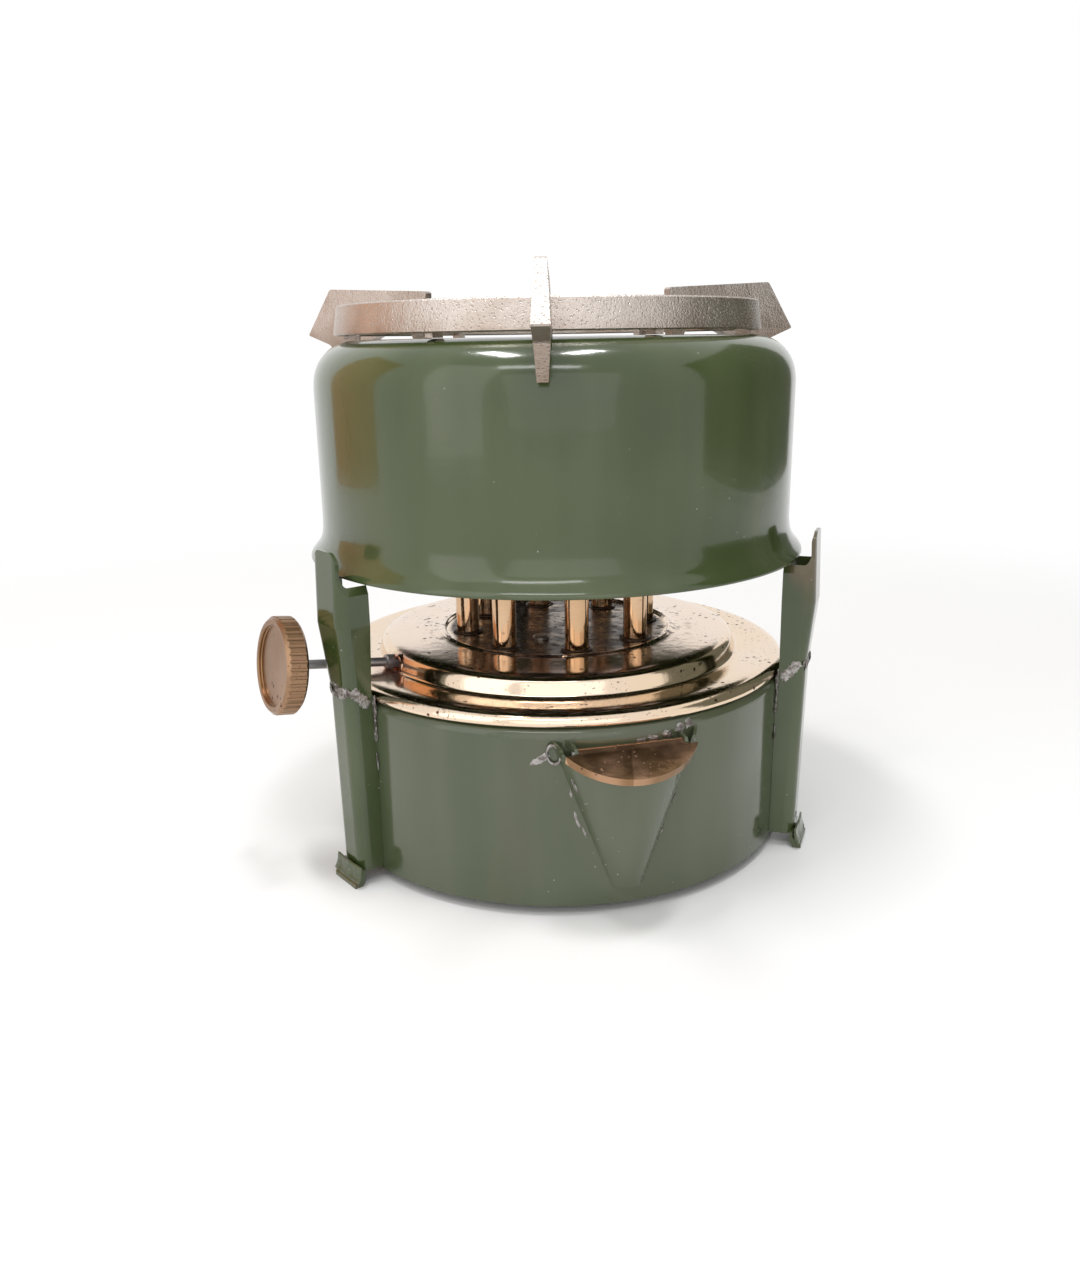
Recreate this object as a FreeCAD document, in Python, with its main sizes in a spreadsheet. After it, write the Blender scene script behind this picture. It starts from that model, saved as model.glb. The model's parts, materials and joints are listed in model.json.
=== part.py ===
import FreeCAD, Part
import math
import os
import Sketcher
from types import SimpleNamespace
from FreeCAD import Matrix, Placement, Rotation, Vector

os.makedirs("parts", exist_ok=True)
doc = FreeCAD.newDocument("wick_stove")

# Driving sizes in millimetres and degrees.
# Azimuths are counted from the front (-Y) towards the right (+X), and heights from the floor.
SIZES = {
    "foot_height": (4.0, "floor to the underside of the fuel tank"),
    "sheet": (0.8, "thickness of the enamelled tinplate"),
    "solder_gap": (0.05, "film of solder between parts that are soldered together"),
    "seat_gap": (0.1, "play between parts that stand on each other"),
    "running_gap": (0.06, "radial play of a shaft or rod in its hole"),
    "tank_radius": (92.5, "outside of the fuel tank"),
    "tank_height": (66.2, "height of the fuel tank"),
    "tank_corner": (3.5, "rounding of the tank's top edge"),
    "tank_mouth": (82.0, "radius of the tank's open top, under the brass plate"),
    "bottom_recess": (3.0, "how far the tank's bottom is set up inside the wall"),
    "brass": (0.8, "thickness of the brass sheet"),
    "rim_radius": (92.2, "outer edge of the brass burner plate"),
    "rim_height": (2.2, "height of the plate's rolled edge"),
    "dish_radius": (88.0, "where the rolled edge meets the dished ring"),
    "riser_radius": (74.6, "foot of the step up to the raised disc"),
    "riser_height": (5.6, "height of that foot above the tank"),
    "disc_radius": (71.2, "edge of the raised disc"),
    "disc_height": (11.6, "top of the raised disc above the tank"),
    "bead_radius": (47.0, "round bead on the raised disc"),
    "bead_width": (2.4, "width of that bead"),
    "bead_height": (0.9, "height of that bead"),
    "well_depth": (0.6, "how far the disc inside the bead is sunk"),
    "tube_count": (8, "wick tubes"),
    "first_tube": (12.0, "azimuth of the first wick tube"),
    "tube_circle": (37.0, "radius of the circle of wick tubes"),
    "tube_radius": (4.6, "outside of a wick tube"),
    "tube_wall": (0.7, "wall of a wick tube"),
    "tube_height": (47.0, "wick tube above the raised disc"),
    "tube_tail": (6.0, "wick tube below the raised disc"),
    "wick_gap": (0.3, "play between a wick and its tube"),
    "wick_foot": (5.5, "lowest wick end above the tank's underside"),
    "wick_drop": (1.5, "lowered wick end below the top of its tube"),
    "spindle_azimuth": (-57.0, "direction of the wick spindle"),
    "spindle_tilt": (8.2, "rise of the spindle towards the knob"),
    "spindle_level": (62.6, "spindle's axis beside the middle, above the tank's underside"),
    "spindle_radius": (1.75, "wick spindle"),
    "spindle_inner": (-13.0, "inner end of the spindle"),
    "tooth_size": (1.0, "module of the rack and pinion"),
    "tooth_count": (10, "teeth of the pinion"),
    "tooth_lean": (25.0, "pressure angle of the teeth"),
    "tooth_tip": (0.75, "tooth above the pitch line"),
    "tooth_root": (1.0, "tooth below the pitch line"),
    "tooth_play": (0.16, "backlash along the pitch line"),
    "pinion_width": (5.0, "face width of the pinion"),
    "rack_width": (4.4, "width of the rack"),
    "rack_thickness": (3.6, "rack behind its pitch line"),
    "rack_top": (2.3, "lowered rack above the spindle's axis"),
    "carrier_radius": (44.0, "wick carrier plate"),
    "carrier_plate": (1.5, "thickness of the wick carrier"),
    "carrier_level": (33.0, "lowered carrier above the tank's underside"),
    "clamp_wall": (1.1, "wall of a wick clamp ring"),
    "clamp_height": (4.0, "height of a wick clamp ring"),
    "rod_azimuth": (-17.6, "direction of the carrier's guide rod"),
    "rod_circle": (20.6, "distance of the guide rod from the middle"),
    "rod_radius": (2.0, "guide rod"),
    "rod_head": (3.2, "riveted head of the guide rod"),
    "sleeve_wall": (1.6, "wall of the guide sleeve"),
    "sleeve_length": (14.0, "length of the guide sleeve"),
    "bracket_sheet": (1.2, "thickness of the inner spindle bracket"),
    "bracket_place": (-9.0, "inner bracket along the spindle"),
    "gland_inner": (62.0, "inner end of the spindle gland"),
    "gland_outer": (76.5, "outer end of the spindle gland"),
    "gland_radius": (2.9, "outside of the spindle gland"),
    "boss_start": (64.0, "inner end of the brass boss along the spindle"),
    "boss_radius": (4.6, "outer end of the brass boss round the gland"),
    "boss_root": (8.0, "root of that boss"),
    "boss_end": (74.5, "outer end of that boss along the spindle"),
    "knob_place": (113.0, "inner face of the knob along the spindle"),
    "knob_radius": (18.0, "knob"),
    "knob_width": (8.0, "knob rim"),
    "knob_border": (3.2, "raised border of the knob's face"),
    "knob_sink": (1.3, "how far the knob's face is sunk"),
    "knob_hub": (5.0, "hub behind the knob"),
    "hub_length": (4.0, "length of that hub"),
    "knurl_count": (40, "grooves in the knob's rim"),
    "knurl_radius": (0.75, "a groove in the knob's rim"),
    "leg_azimuth": (-50.3, "direction of the left leg"),
    "leg_sheet": (1.2, "thickness of a leg"),
    "leg_depth": (10.0, "lower leg out from the tank's wall"),
    "leg_flare": (2.5, "how much further out the upper leg stands"),
    "leg_lean": (1.0, "how far the leg leans in at its foot and at its top"),
    "leg_half": (7.5, "half the width of the lower leg"),
    "leg_top_half": (9.8, "half the width of the upper leg"),
    "leg_bend": (4.2, "bend between the web and the sides of a leg"),
    "leg_waist": (4.0, "where the upper leg begins, above the tank"),
    "leg_shoulder": (30.0, "where the upper leg has its full width, above the tank"),
    "leg_edge": (0.5, "inner edge of the leg's sides outside the brass rim"),
    "prong_height": (11.0, "leg above the drum's rim"),
    "prong_half": (7.4, "half the width of the leg above the drum's rim"),
    "prong_round": (4.0, "rounding of the leg's top corners"),
    "foot_reach": (3.4, "foot out from the web of the leg"),
    "foot_flat": (3.2, "flat of the foot on the floor"),
    "drum_clearance": (45.4, "open gap between the tank and the drum"),
    "drum_radius": (92.0, "outside of the drum"),
    "drum_height": (80.8, "height of the drum"),
    "drum_rim": (97.5, "flared rim of the drum"),
    "drum_rim_height": (8.0, "height of the flare"),
    "drum_lip": (1.6, "rolled lip of the flare"),
    "drum_corner": (16.0, "rounding of the drum's shoulder"),
    "drum_mouth": (47.6, "open top of the drum"),
    "collar_depth": (9.0, "collar turned down inside the open top"),
    "rim_play": (0.8, "play between the drum's rim and the leg prongs"),
    "flame_sheet": (0.7, "thickness of the flame cylinders"),
    "inner_flame": (28.0, "outside of the inner flame cylinder"),
    "inner_flame_drop": (8.0, "top of the inner flame cylinder below the drum's top"),
    "base_lift": (2.4, "burner base above the drum's rim"),
    "base_inner": (22.0, "air hole in the burner base"),
    "tube_play": (0.7, "play round a wick tube in the burner base"),
    "vent_radius": (2.2, "air holes in the flame cylinders"),
    "outer_vents": (16, "air holes in one row of the outer flame cylinder"),
    "inner_vents": (10, "air holes in one row of the inner flame cylinder"),
    "vent_rows": (3, "rows of air holes"),
    "vent_pitch": (16.0, "distance between the rows"),
    "vent_start": (18.0, "first row above the burner base"),
    "pin_radius": (1.2, "cross pins through the flame cylinders"),
    "pin_count": (3, "cross pins"),
    "pin_azimuth": (34.5, "azimuth of the first cross pin"),
    "pin_lift": (13.0, "cross pins above the burner base"),
    "ring_radius": (81.0, "outside of the pan ring at its foot"),
    "ring_draft": (1.6, "how much narrower the ring is at its top"),
    "ring_wall": (3.2, "wall of the pan ring"),
    "ring_height": (10.5, "height of the pan ring"),
    "ring_lift": (1.6, "pan ring above the drum"),
    "pad_angle": (28.0, "standing pads either side of a fin"),
    "pad_width": (3.0, "width of a standing pad"),
    "fin_count": (3, "fins of the pan support"),
    "fin_azimuth": (-0.5, "azimuth of the front fin"),
    "support_shift": (2.4, "how far the loose support sits off the middle, to the left"),
    "fin_inner": (56.0, "inner top corner of a fin"),
    "fin_outer": (107.8, "outer top corner of a fin"),
    "fin_inner_height": (18.8, "that inner corner above the drum"),
    "fin_outer_height": (21.4, "that outer corner above the drum"),
    "fin_tip": (120.8, "outermost point of a fin"),
    "fin_tip_height": (2.6, "that point above the drum"),
    "fin_width": (5.6, "width of a fin at its ridge"),
    "fin_top_width": (3.4, "width of a fin at its top"),
    "prong_end": (13.5, "prong below the drum's top"),
    "prong_play": (2.6, "prong off the drum's wall"),
    "lug_reach": (10.5, "small lug inside a fin"),
    "lug_height": (2.6, "height of that lug"),
    "filler_azimuth": (15.0, "direction of the filler"),
    "filler_radius": (23.6, "mouth of the filler pocket"),
    "filler_reach": (15.0, "mouth of the pocket out from the tank's wall"),
    "filler_foot": (7.0, "radius of the pocket's lower end"),
    "filler_foot_reach": (2.6, "lower end out from the tank's wall"),
    "filler_foot_level": (6.0, "lower end above the tank's underside"),
    "filler_lean": (5.1, "lean of the pocket's axis towards the tank"),
    "filler_mouth_level": (59.0, "hinge of the lid above the tank's underside"),
    "filler_slope": (25.0, "slope of the pocket's mouth"),
    "lid_sheet": (0.8, "thickness of the filler lid"),
    "lid_skirt": (2.4, "turned edge of the lid"),
    "lid_overlap": (0.5, "play between that edge and the pocket"),
    "lid_radius": (27.0, "outer radius of the lid"),
    "lid_neck": (18.6, "half the width of the lid at its hinge"),
    "knuckle_radius": (1.7, "rolled hinge of the lid"),
    "hinge_pin_radius": (0.8, "hinge pin of the lid"),
    "hinge_play": (0.08, "radial play of the hinge"),
    "ear_sheet": (1.2, "thickness of a hinge ear"),
    "ear_play": (0.25, "play between the lid and a hinge ear"),
    "window_half": (12.0, "half the width of the fuel window behind the pocket"),
}


class Size:
    """A number together with the formula that the document keeps for it."""

    def __init__(self, value, formula):
        self.value = float(value)
        self.formula = formula

    def __add__(self, other):
        return Size(self.value + number(other), f"({self.formula} + {words(other)})")

    def __radd__(self, other):
        return Size(number(other) + self.value, f"({words(other)} + {self.formula})")

    def __sub__(self, other):
        return Size(self.value - number(other), f"({self.formula} - {words(other)})")

    def __rsub__(self, other):
        return Size(number(other) - self.value, f"({words(other)} - {self.formula})")

    def __mul__(self, other):
        return Size(self.value * number(other), f"({self.formula} * {words(other)})")

    def __rmul__(self, other):
        return Size(number(other) * self.value, f"({words(other)} * {self.formula})")

    def __truediv__(self, other):
        return Size(self.value / number(other), f"({self.formula} / {words(other)})")

    def __rtruediv__(self, other):
        return Size(number(other) / self.value, f"({words(other)} / {self.formula})")

    def __neg__(self):
        return Size(-self.value, f"(0 - {self.formula})")


def number(item):
    """Plain value of a size or of a number."""
    return item.value if isinstance(item, Size) else float(item)


def words(item):
    """Formula of a size or of a number."""
    return item.formula if isinstance(item, Size) else repr(item)


def cosine(angle):
    """Cosine of an angle in degrees."""
    return Size(math.cos(math.radians(number(angle))), f"cos({words(angle)})")


def sine(angle):
    """Sine of an angle in degrees."""
    return Size(math.sin(math.radians(number(angle))), f"sin({words(angle)})")


def tangent(angle):
    """Tangent of an angle in degrees."""
    return Size(math.tan(math.radians(number(angle))), f"tan({words(angle)})")


def fill_sheet():
    """Write the driving sizes into the sheet and hand them back as named sizes."""
    sheet = doc.addObject("Spreadsheet::Sheet", "Sizes")
    sizes = SimpleNamespace()
    for row, (name, (value, meaning)) in enumerate(SIZES.items(), start=1):
        sheet.set(f"A{row}", meaning)
        sheet.set(f"B{row}", str(value))
        sheet.setAlias(f"B{row}", name)
        setattr(sizes, name, Size(value, f"Sizes.{name}"))
    doc.recompute()
    return sizes


s = fill_sheet()

# Levels above the floor that several parts share.
tank_base = s.foot_height
tank_top = tank_base + s.tank_height
disc_top = tank_top + s.disc_height
well_top = disc_top - s.well_depth
tube_bore = s.tube_radius - s.tube_wall
wick_radius = tube_bore - s.wick_gap
drum_base = tank_top + s.drum_clearance
drum_top = drum_base + s.drum_height
burner_base = drum_base + s.base_lift
outer_flame = s.drum_mouth - s.sheet - s.solder_gap
flame_top = drum_top - s.sheet - 0.6
inner_flame_top = drum_top - s.inner_flame_drop
axis_level = tank_base + s.spindle_level
carrier_base = tank_base + s.carrier_level
pitch_radius = s.tooth_size * s.tooth_count / 2
leg_face = s.tank_radius + s.leg_depth
hinge_out = s.tank_radius + s.knuckle_radius + 0.4
hinge_level = tank_base + s.filler_mouth_level

Z_AXIS = Vector(0, 0, 1)

# A smaller rounding than this is drawn as a flat that takes this share of its run.
SMALLEST_ROUNDING = 1.9
FLAT_SHARE = 0.7


def bind(thing, name, size):
    """Give a property its value and, for a size from the sheet, its formula."""
    if isinstance(size, Size):
        thing.setExpression(name, size.formula)
    else:
        setattr(thing, name, size)


def turn(thing, azimuth):
    """Turn a part so that its own +X points along an azimuth."""
    thing.Placement = Placement(Vector(), Rotation(Z_AXIS, number(azimuth) - 90))
    thing.setExpression("Placement.Rotation.Angle", words(azimuth - 90))


def spindle_frame(along):
    """Placement on the tilted spindle: +Z out towards the knob, +X towards the rack."""
    azimuth = math.radians(s.spindle_azimuth.value)
    tilt = math.radians(s.spindle_tilt.value)
    flat = Vector(math.sin(azimuth), -math.cos(azimuth), 0)
    aside = Vector(-math.cos(azimuth), -math.sin(azimuth), 0)
    axis = flat * math.cos(tilt) + Z_AXIS * math.sin(tilt)
    side = -aside
    up = axis.cross(side)
    start = aside * pitch_radius.value + Z_AXIS * axis_level.value + axis * number(along)
    matrix = Matrix(side.x, up.x, axis.x, start.x, side.y, up.y, axis.y, start.y,
                    side.z, up.z, axis.z, start.z, 0, 0, 0, 1)
    return Placement(matrix)


def new_body(label):
    """A PartDesign body whose label names its file."""
    body = doc.addObject("PartDesign::Body", label)
    body.Label = label
    return body


def sketch_on(body, role, lift=0.0):
    """A sketch on one of the body's own origin planes, lifted off it if asked."""
    sketch = body.newObject("Sketcher::SketchObject", f"{body.Name}_sketch")
    plane = [item for item in body.Origin.OriginFeatures if item.Role == role][0]
    sketch.AttachmentSupport = [(plane, "")]
    sketch.MapMode = "FlatFace"
    if isinstance(lift, Size):
        sketch.setExpression("AttachmentOffset.Base.z", lift.formula)
    elif lift:
        sketch.AttachmentOffset = Placement(Vector(0, 0, lift), Rotation())
    return sketch


def place(sketch, geometry, point, x, y):
    """Fix one point of a sketch at (x, y)."""
    for kind, axis, item in (("DistanceX", -2, x), ("DistanceY", -1, y)):
        if isinstance(item, Size):
            index = sketch.addConstraint(Sketcher.Constraint(kind, geometry, point, item.value))
            sketch.setExpression(f"Constraints[{index}]", item.formula)
        elif item == 0:
            sketch.addConstraint(Sketcher.Constraint("PointOnObject", geometry, point, axis))
        else:
            sketch.addConstraint(Sketcher.Constraint(kind, geometry, point, float(item)))


def circle(sketch, x, y, radius):
    """A circle whose middle and radius are bound."""
    middle = Vector(number(x), number(y), 0)
    index = sketch.addGeometry(Part.Circle(middle, Z_AXIS, number(radius)), False)
    place(sketch, index, 3, x, y)
    rule = sketch.addConstraint(Sketcher.Constraint("Radius", index, number(radius)))
    sketch.setExpression(f"Constraints[{rule}]", words(radius))


def outline(sketch, corners):
    """Closed outline through (x, y) corners; a third entry rounds its corner by that radius.

    A corner with less than the smallest rounding gets a flat in its place.
    """
    count = len(corners)
    points = [Vector(number(item[0]), number(item[1]), 0) for item in corners]
    starts, ends, middles = [], [], {}
    for index, corner in enumerate(corners):
        point = points[index]
        if len(corner) < 3:
            starts.append(point)
            ends.append(point)
            continue
        back = (points[index - 1] - point).normalize()
        ahead = (points[(index + 1) % count] - point).normalize()
        half = back.getAngle(ahead) / 2
        reach = corner_reach(corner[2], half)
        starts.append(point + back * reach)
        ends.append(point + ahead * reach)
        middles[index] = point + (back + ahead).normalize() * (number(corner[2]) / math.sin(half))
    lines = []
    for index in range(count):
        stop = starts[(index + 1) % count]
        lines.append(sketch.addGeometry(Part.LineSegment(ends[index], stop), False))
    for index, corner in enumerate(corners):
        before = lines[index - 1]
        after = lines[index]
        if index not in middles:
            sketch.addConstraint(Sketcher.Constraint("Coincident", before, 2, after, 1))
            place(sketch, after, 1, corner[0], corner[1])
            continue
        mark = sketch.addGeometry(Part.Point(points[index]), True)
        sketch.addConstraint(Sketcher.Constraint("PointOnObject", mark, 1, before))
        sketch.addConstraint(Sketcher.Constraint("PointOnObject", mark, 1, after))
        if number(corner[2]) < SMALLEST_ROUNDING:
            reach = (starts[index] - points[index]).Length
            flat = sketch.addGeometry(Part.LineSegment(starts[index], ends[index]), False)
            sketch.addConstraint(Sketcher.Constraint("Coincident", before, 2, flat, 1))
            sketch.addConstraint(Sketcher.Constraint("Coincident", flat, 2, after, 1))
            sketch.addConstraint(Sketcher.Constraint("Distance", before, 2, mark, 1, reach))
            sketch.addConstraint(Sketcher.Constraint("Distance", after, 1, mark, 1, reach))
        else:
            add_arc(sketch, before, after, starts[index], ends[index], middles[index], corner[2])
        place(sketch, mark, 1, corner[0], corner[1])


def corner_reach(radius, half):
    """How far a corner's rounding or flat runs along each side."""
    rounded = number(radius) / math.tan(half)
    return rounded if number(radius) >= SMALLEST_ROUNDING else rounded * FLAT_SHARE


def add_arc(sketch, before, after, start, end, middle, radius):
    """Arc that is tangent to the lines before and after a corner."""
    first = math.atan2(start.y - middle.y, start.x - middle.x)
    last = math.atan2(end.y - middle.y, end.x - middle.x)
    sweep = (last - first) % (2 * math.pi)
    forward = sweep < math.pi
    low, high = (first, first + sweep) if forward else (last, last + 2 * math.pi - sweep)
    arc = sketch.addGeometry(Part.ArcOfCircle(Part.Circle(middle, Z_AXIS, number(radius)), low, high), False)
    enter, leave = (1, 2) if forward else (2, 1)
    sketch.addConstraint(Sketcher.Constraint("Tangent", before, 2, arc, enter))
    sketch.addConstraint(Sketcher.Constraint("Tangent", arc, leave, after, 1))
    rule = sketch.addConstraint(Sketcher.Constraint("Radius", arc, number(radius)))
    if isinstance(radius, Size):
        sketch.setExpression(f"Constraints[{rule}]", radius.formula)


def turned(body, corners):
    """Turn an outline of (radius, height) corners about the body's own Z axis."""
    sketch = sketch_on(body, "XZ_Plane")
    outline(sketch, corners)
    feature = body.newObject("PartDesign::Revolution", f"{body.Name}_turned")
    feature.Profile = sketch
    feature.ReferenceAxis = (sketch, ["V_Axis"])
    feature.Angle = 360
    return feature


def padded(body, sketch, length, middle=False, flip=False):
    """Pad a sketch."""
    feature = body.newObject("PartDesign::Pad", f"{body.Name}_pad")
    feature.Profile = sketch
    feature.SideType = "Symmetric" if middle else "One side"
    feature.Reversed = flip
    bind(feature, "Length", length)
    return feature


def pocketed(body, sketch, length, middle=False, flip=False):
    """Cut a sketch into the body and make sure that it removes something."""
    doc.recompute()
    before = body.Shape.Volume
    feature = body.newObject("PartDesign::Pocket", f"{body.Name}_pocket")
    feature.Profile = sketch
    feature.SideType = "Symmetric" if middle else "One side"
    feature.Reversed = flip
    bind(feature, "Length", length)
    doc.recompute()
    assert body.Shape.Volume < before - 1e-6, f"{body.Label}: a pocket cuts nothing"
    return feature


def patterned(body, feature, count):
    """Repeat a feature round the body's own Z axis."""
    pattern = body.newObject("PartDesign::PolarPattern", f"{body.Name}_pattern")
    pattern.Originals = [feature]
    axis = [item for item in body.Origin.OriginFeatures if item.Role == "Z_Axis"][0]
    pattern.Axis = (axis, [""])
    pattern.Angle = 360
    bind(pattern, "Occurrences", count)
    body.Tip = pattern
    return pattern


def lofted(body, kind, sections):
    """Straight loft through sketches, additive or subtractive."""
    feature = body.newObject(f"PartDesign::{kind}", f"{body.Name}_loft")
    feature.Profile = sections[0]
    feature.Sections = sections[1:]
    feature.Ruled = True
    return feature


def rod(label, radius, length, placement):
    """Plain round bar along its own +Z."""
    bar = doc.addObject("Part::Cylinder", label)
    bar.Label = label
    bind(bar, "Radius", radius)
    bind(bar, "Height", length)
    bar.Placement = placement
    return bar


def block(label, length, width, height, corner):
    """Plain box with one corner given."""
    box = doc.addObject("Part::Box", label)
    bind(box, "Length", length)
    bind(box, "Width", width)
    bind(box, "Height", height)
    box.Placement = Placement(Vector(*[number(item) for item in corner]), Rotation())
    for axis, item in zip("xyz", corner):
        if isinstance(item, Size):
            box.setExpression(f"Placement.Base.{axis}", item.formula)
    return box


def cut(label, base, tool):
    """Boolean cut."""
    result = doc.addObject("Part::Cut", label)
    result.Label = label
    result.Base = base
    result.Tool = tool
    return result


def joined(label, shapes):
    """Boolean union."""
    result = doc.addObject("Part::MultiFuse", label)
    result.Label = label
    result.Shapes = shapes
    return result


def stand(thing, distance, azimuth, height=0.0):
    """Set an upright part at a distance from the middle along an azimuth."""
    across = distance * sine(azimuth)
    along = -(distance * cosine(azimuth))
    base = Vector(across.value, along.value, number(height))
    thing.Placement = Placement(base, Rotation())
    thing.setExpression("Placement.Base.x", across.formula)
    thing.setExpression("Placement.Base.y", along.formula)
    if isinstance(height, Size):
        thing.setExpression("Placement.Base.z", height.formula)


def tube_azimuth(index):
    """Azimuth of a wick tube, counted from 0."""
    return s.first_tube + index * 360 / s.tube_count


def make_tank_shell():
    """Drawn wall of the fuel tank with its turned-in top and the fuel window."""
    body = new_body("tank_shell")
    inner = s.tank_radius - s.sheet
    turned(body, [
        (s.tank_radius, tank_base),
        (s.tank_radius, tank_top, s.tank_corner),
        (s.tank_mouth, tank_top),
        (s.tank_mouth, tank_top - s.sheet),
        (inner, tank_top - s.sheet, s.tank_corner - s.sheet),
        (inner, tank_base),
    ])
    window = sketch_on(body, "YZ_Plane")
    low = tank_base + s.filler_foot_level + 6
    high = hinge_level - 16
    outline(window, [
        (-s.window_half, high, 3.0),
        (-s.window_half * 0.4, low, 3.0),
        (s.window_half * 0.4, low, 3.0),
        (s.window_half, high, 3.0),
    ])
    pocketed(body, window, s.tank_radius + 2, flip=True)
    turn(body, s.filler_azimuth)
    return body


def make_tank_bottom():
    """Dished bottom, set up inside the wall of the tank."""
    body = new_body("tank_bottom")
    edge = s.tank_radius - s.sheet - s.solder_gap
    floor = tank_base + s.bottom_recess
    turned(body, [
        (0, floor),
        (edge - s.sheet, floor, 0.6),
        (edge - s.sheet, tank_base),
        (edge, tank_base),
        (edge, floor + s.sheet, 1.4),
        (0, floor + s.sheet),
    ])
    return body


def make_burner_plate():
    """Spun brass plate: rolled edge, dished ring, raised disc, bead and sunk middle."""
    blank = new_body("burner_plate_blank")
    bead_in = s.bead_radius - s.bead_width / 2
    bead_out = s.bead_radius + s.bead_width / 2
    bead_top = disc_top + s.bead_height
    riser_level = tank_top + s.riser_height
    seat = tank_top + s.solder_gap
    rim_top = tank_top + s.rim_height
    turned(blank, [
        (0, well_top),
        (bead_in, well_top),
        (bead_in, bead_top, 0.7),
        (bead_out, bead_top, 0.7),
        (bead_out, disc_top),
        (s.disc_radius, disc_top, 4.0),
        (s.riser_radius, riser_level, 2.2),
        (s.dish_radius, rim_top + 1.2),
        (s.rim_radius, rim_top, 1.2),
        (s.rim_radius, seat, 0.8),
        (s.dish_radius, seat),
        (s.dish_radius, rim_top + 1.2 - s.brass),
        (s.riser_radius - s.brass, riser_level - s.brass, 1.4),
        (s.disc_radius - s.brass, disc_top - s.brass, 3.2),
        (bead_in, disc_top - s.brass),
        (bead_in, well_top - s.brass),
        (0, well_top - s.brass),
    ])
    hole = sketch_on(blank, "XY_Plane", disc_top + 2)
    circle(hole, s.tube_circle, 0, s.tube_radius + s.solder_gap)
    patterned(blank, pocketed(blank, hole, 6), s.tube_count)
    rivet = sketch_on(blank, "XY_Plane", disc_top + 2)
    aside = s.rod_azimuth - s.first_tube
    circle(rivet, s.rod_circle * cosine(aside), s.rod_circle * sine(aside), s.rod_radius + s.solder_gap)
    pocketed(blank, rivet, 6)
    turn(blank, s.first_tube)
    boss = doc.addObject("Part::Cone", "gland_boss")
    bind(boss, "Radius1", s.boss_root)
    bind(boss, "Radius2", s.boss_radius)
    bind(boss, "Height", s.boss_end - s.boss_start)
    boss.Placement = spindle_frame(s.boss_start)
    bored = rod("gland_bore", s.gland_radius + s.solder_gap, s.boss_end - s.gland_inner + 4,
                spindle_frame(s.gland_inner - 2))
    return cut("burner_plate", joined("burner_plate_with_boss", [blank, boss]), bored)


def make_wick_tube(index):
    """One brass wick tube, soldered through the raised disc."""
    body = new_body(f"wick_tube_{index + 1}")
    turned(body, [
        (tube_bore, disc_top - s.tube_tail),
        (s.tube_radius, disc_top - s.tube_tail),
        (s.tube_radius, disc_top + s.tube_height, 0.3),
        (tube_bore, disc_top + s.tube_height),
    ])
    stand(body, s.tube_circle, tube_azimuth(index))
    return body


def make_wick(index):
    """One round cotton wick, lowered, from the fuel up through its tube."""
    low = tank_base + s.wick_foot
    high = disc_top + s.tube_height - s.wick_drop
    wick = rod(f"wick_{index + 1}", wick_radius, high - low, Placement())
    stand(wick, s.tube_circle, tube_azimuth(index), low)
    return wick


def make_wick_carrier():
    """Round plate that grips the eight wicks and carries the rack and the guide sleeve."""
    body = new_body("wick_carrier")
    sketch = sketch_on(body, "XY_Plane", carrier_base)
    circle(sketch, 0, 0, s.carrier_radius)
    padded(body, sketch, s.carrier_plate)
    hole = sketch_on(body, "XY_Plane", carrier_base + s.carrier_plate + 1)
    circle(hole, s.tube_circle, 0, wick_radius + s.solder_gap)
    patterned(body, pocketed(body, hole, s.carrier_plate + 2), s.tube_count)
    guide = sketch_on(body, "XY_Plane", carrier_base + s.carrier_plate + 1)
    aside = s.rod_azimuth - s.first_tube
    circle(guide, s.rod_circle * cosine(aside), s.rod_circle * sine(aside),
           s.rod_radius + s.running_gap + s.sleeve_wall + s.solder_gap)
    pocketed(body, guide, s.carrier_plate + 2)
    turn(body, s.first_tube)
    return body


def make_wick_clamps():
    """Clamp rings on the carrier, one round each wick."""
    bore = wick_radius.value + s.solder_gap.value
    level = carrier_base.value + s.carrier_plate.value + s.solder_gap.value
    rings = []
    for index in range(int(s.tube_count.value)):
        azimuth = math.radians(tube_azimuth(index).value)
        foot = Vector(s.tube_circle.value * math.sin(azimuth), -s.tube_circle.value * math.cos(azimuth),
                      level)
        outer = Part.makeCylinder(bore + s.clamp_wall.value, s.clamp_height.value, foot)
        inner = Part.makeCylinder(bore, s.clamp_height.value, foot)
        rings.append(outer.cut(inner).Solids[0])
    group = doc.addObject("Part::Feature", "wick_clamps")
    group.Label = "wick_clamps"
    group.Shape = Part.makeCompound(rings)
    return group


def make_guide_rod():
    """Rod that keeps the carrier from turning, riveted through the sunk disc."""
    body = new_body("guide_rod")
    foot = tank_base + s.bottom_recess + s.sheet + s.seat_gap
    head = well_top + s.solder_gap
    turned(body, [
        (0, foot),
        (s.rod_radius, foot),
        (s.rod_radius, head),
        (s.rod_head, head),
        (s.rod_head, head + 1.5, 0.9),
        (0, head + 1.5),
    ])
    stand(body, s.rod_circle, s.rod_azimuth)
    return body


def make_guide_sleeve():
    """Brass sleeve of the carrier that slides on the guide rod."""
    body = new_body("guide_sleeve")
    bore = s.rod_radius + s.running_gap
    high = carrier_base + s.carrier_plate + 2
    turned(body, [
        (bore, high - s.sleeve_length),
        (bore + s.sleeve_wall, high - s.sleeve_length),
        (bore + s.sleeve_wall, high),
        (bore, high),
    ])
    stand(body, s.rod_circle, s.rod_azimuth)
    return body


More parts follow.
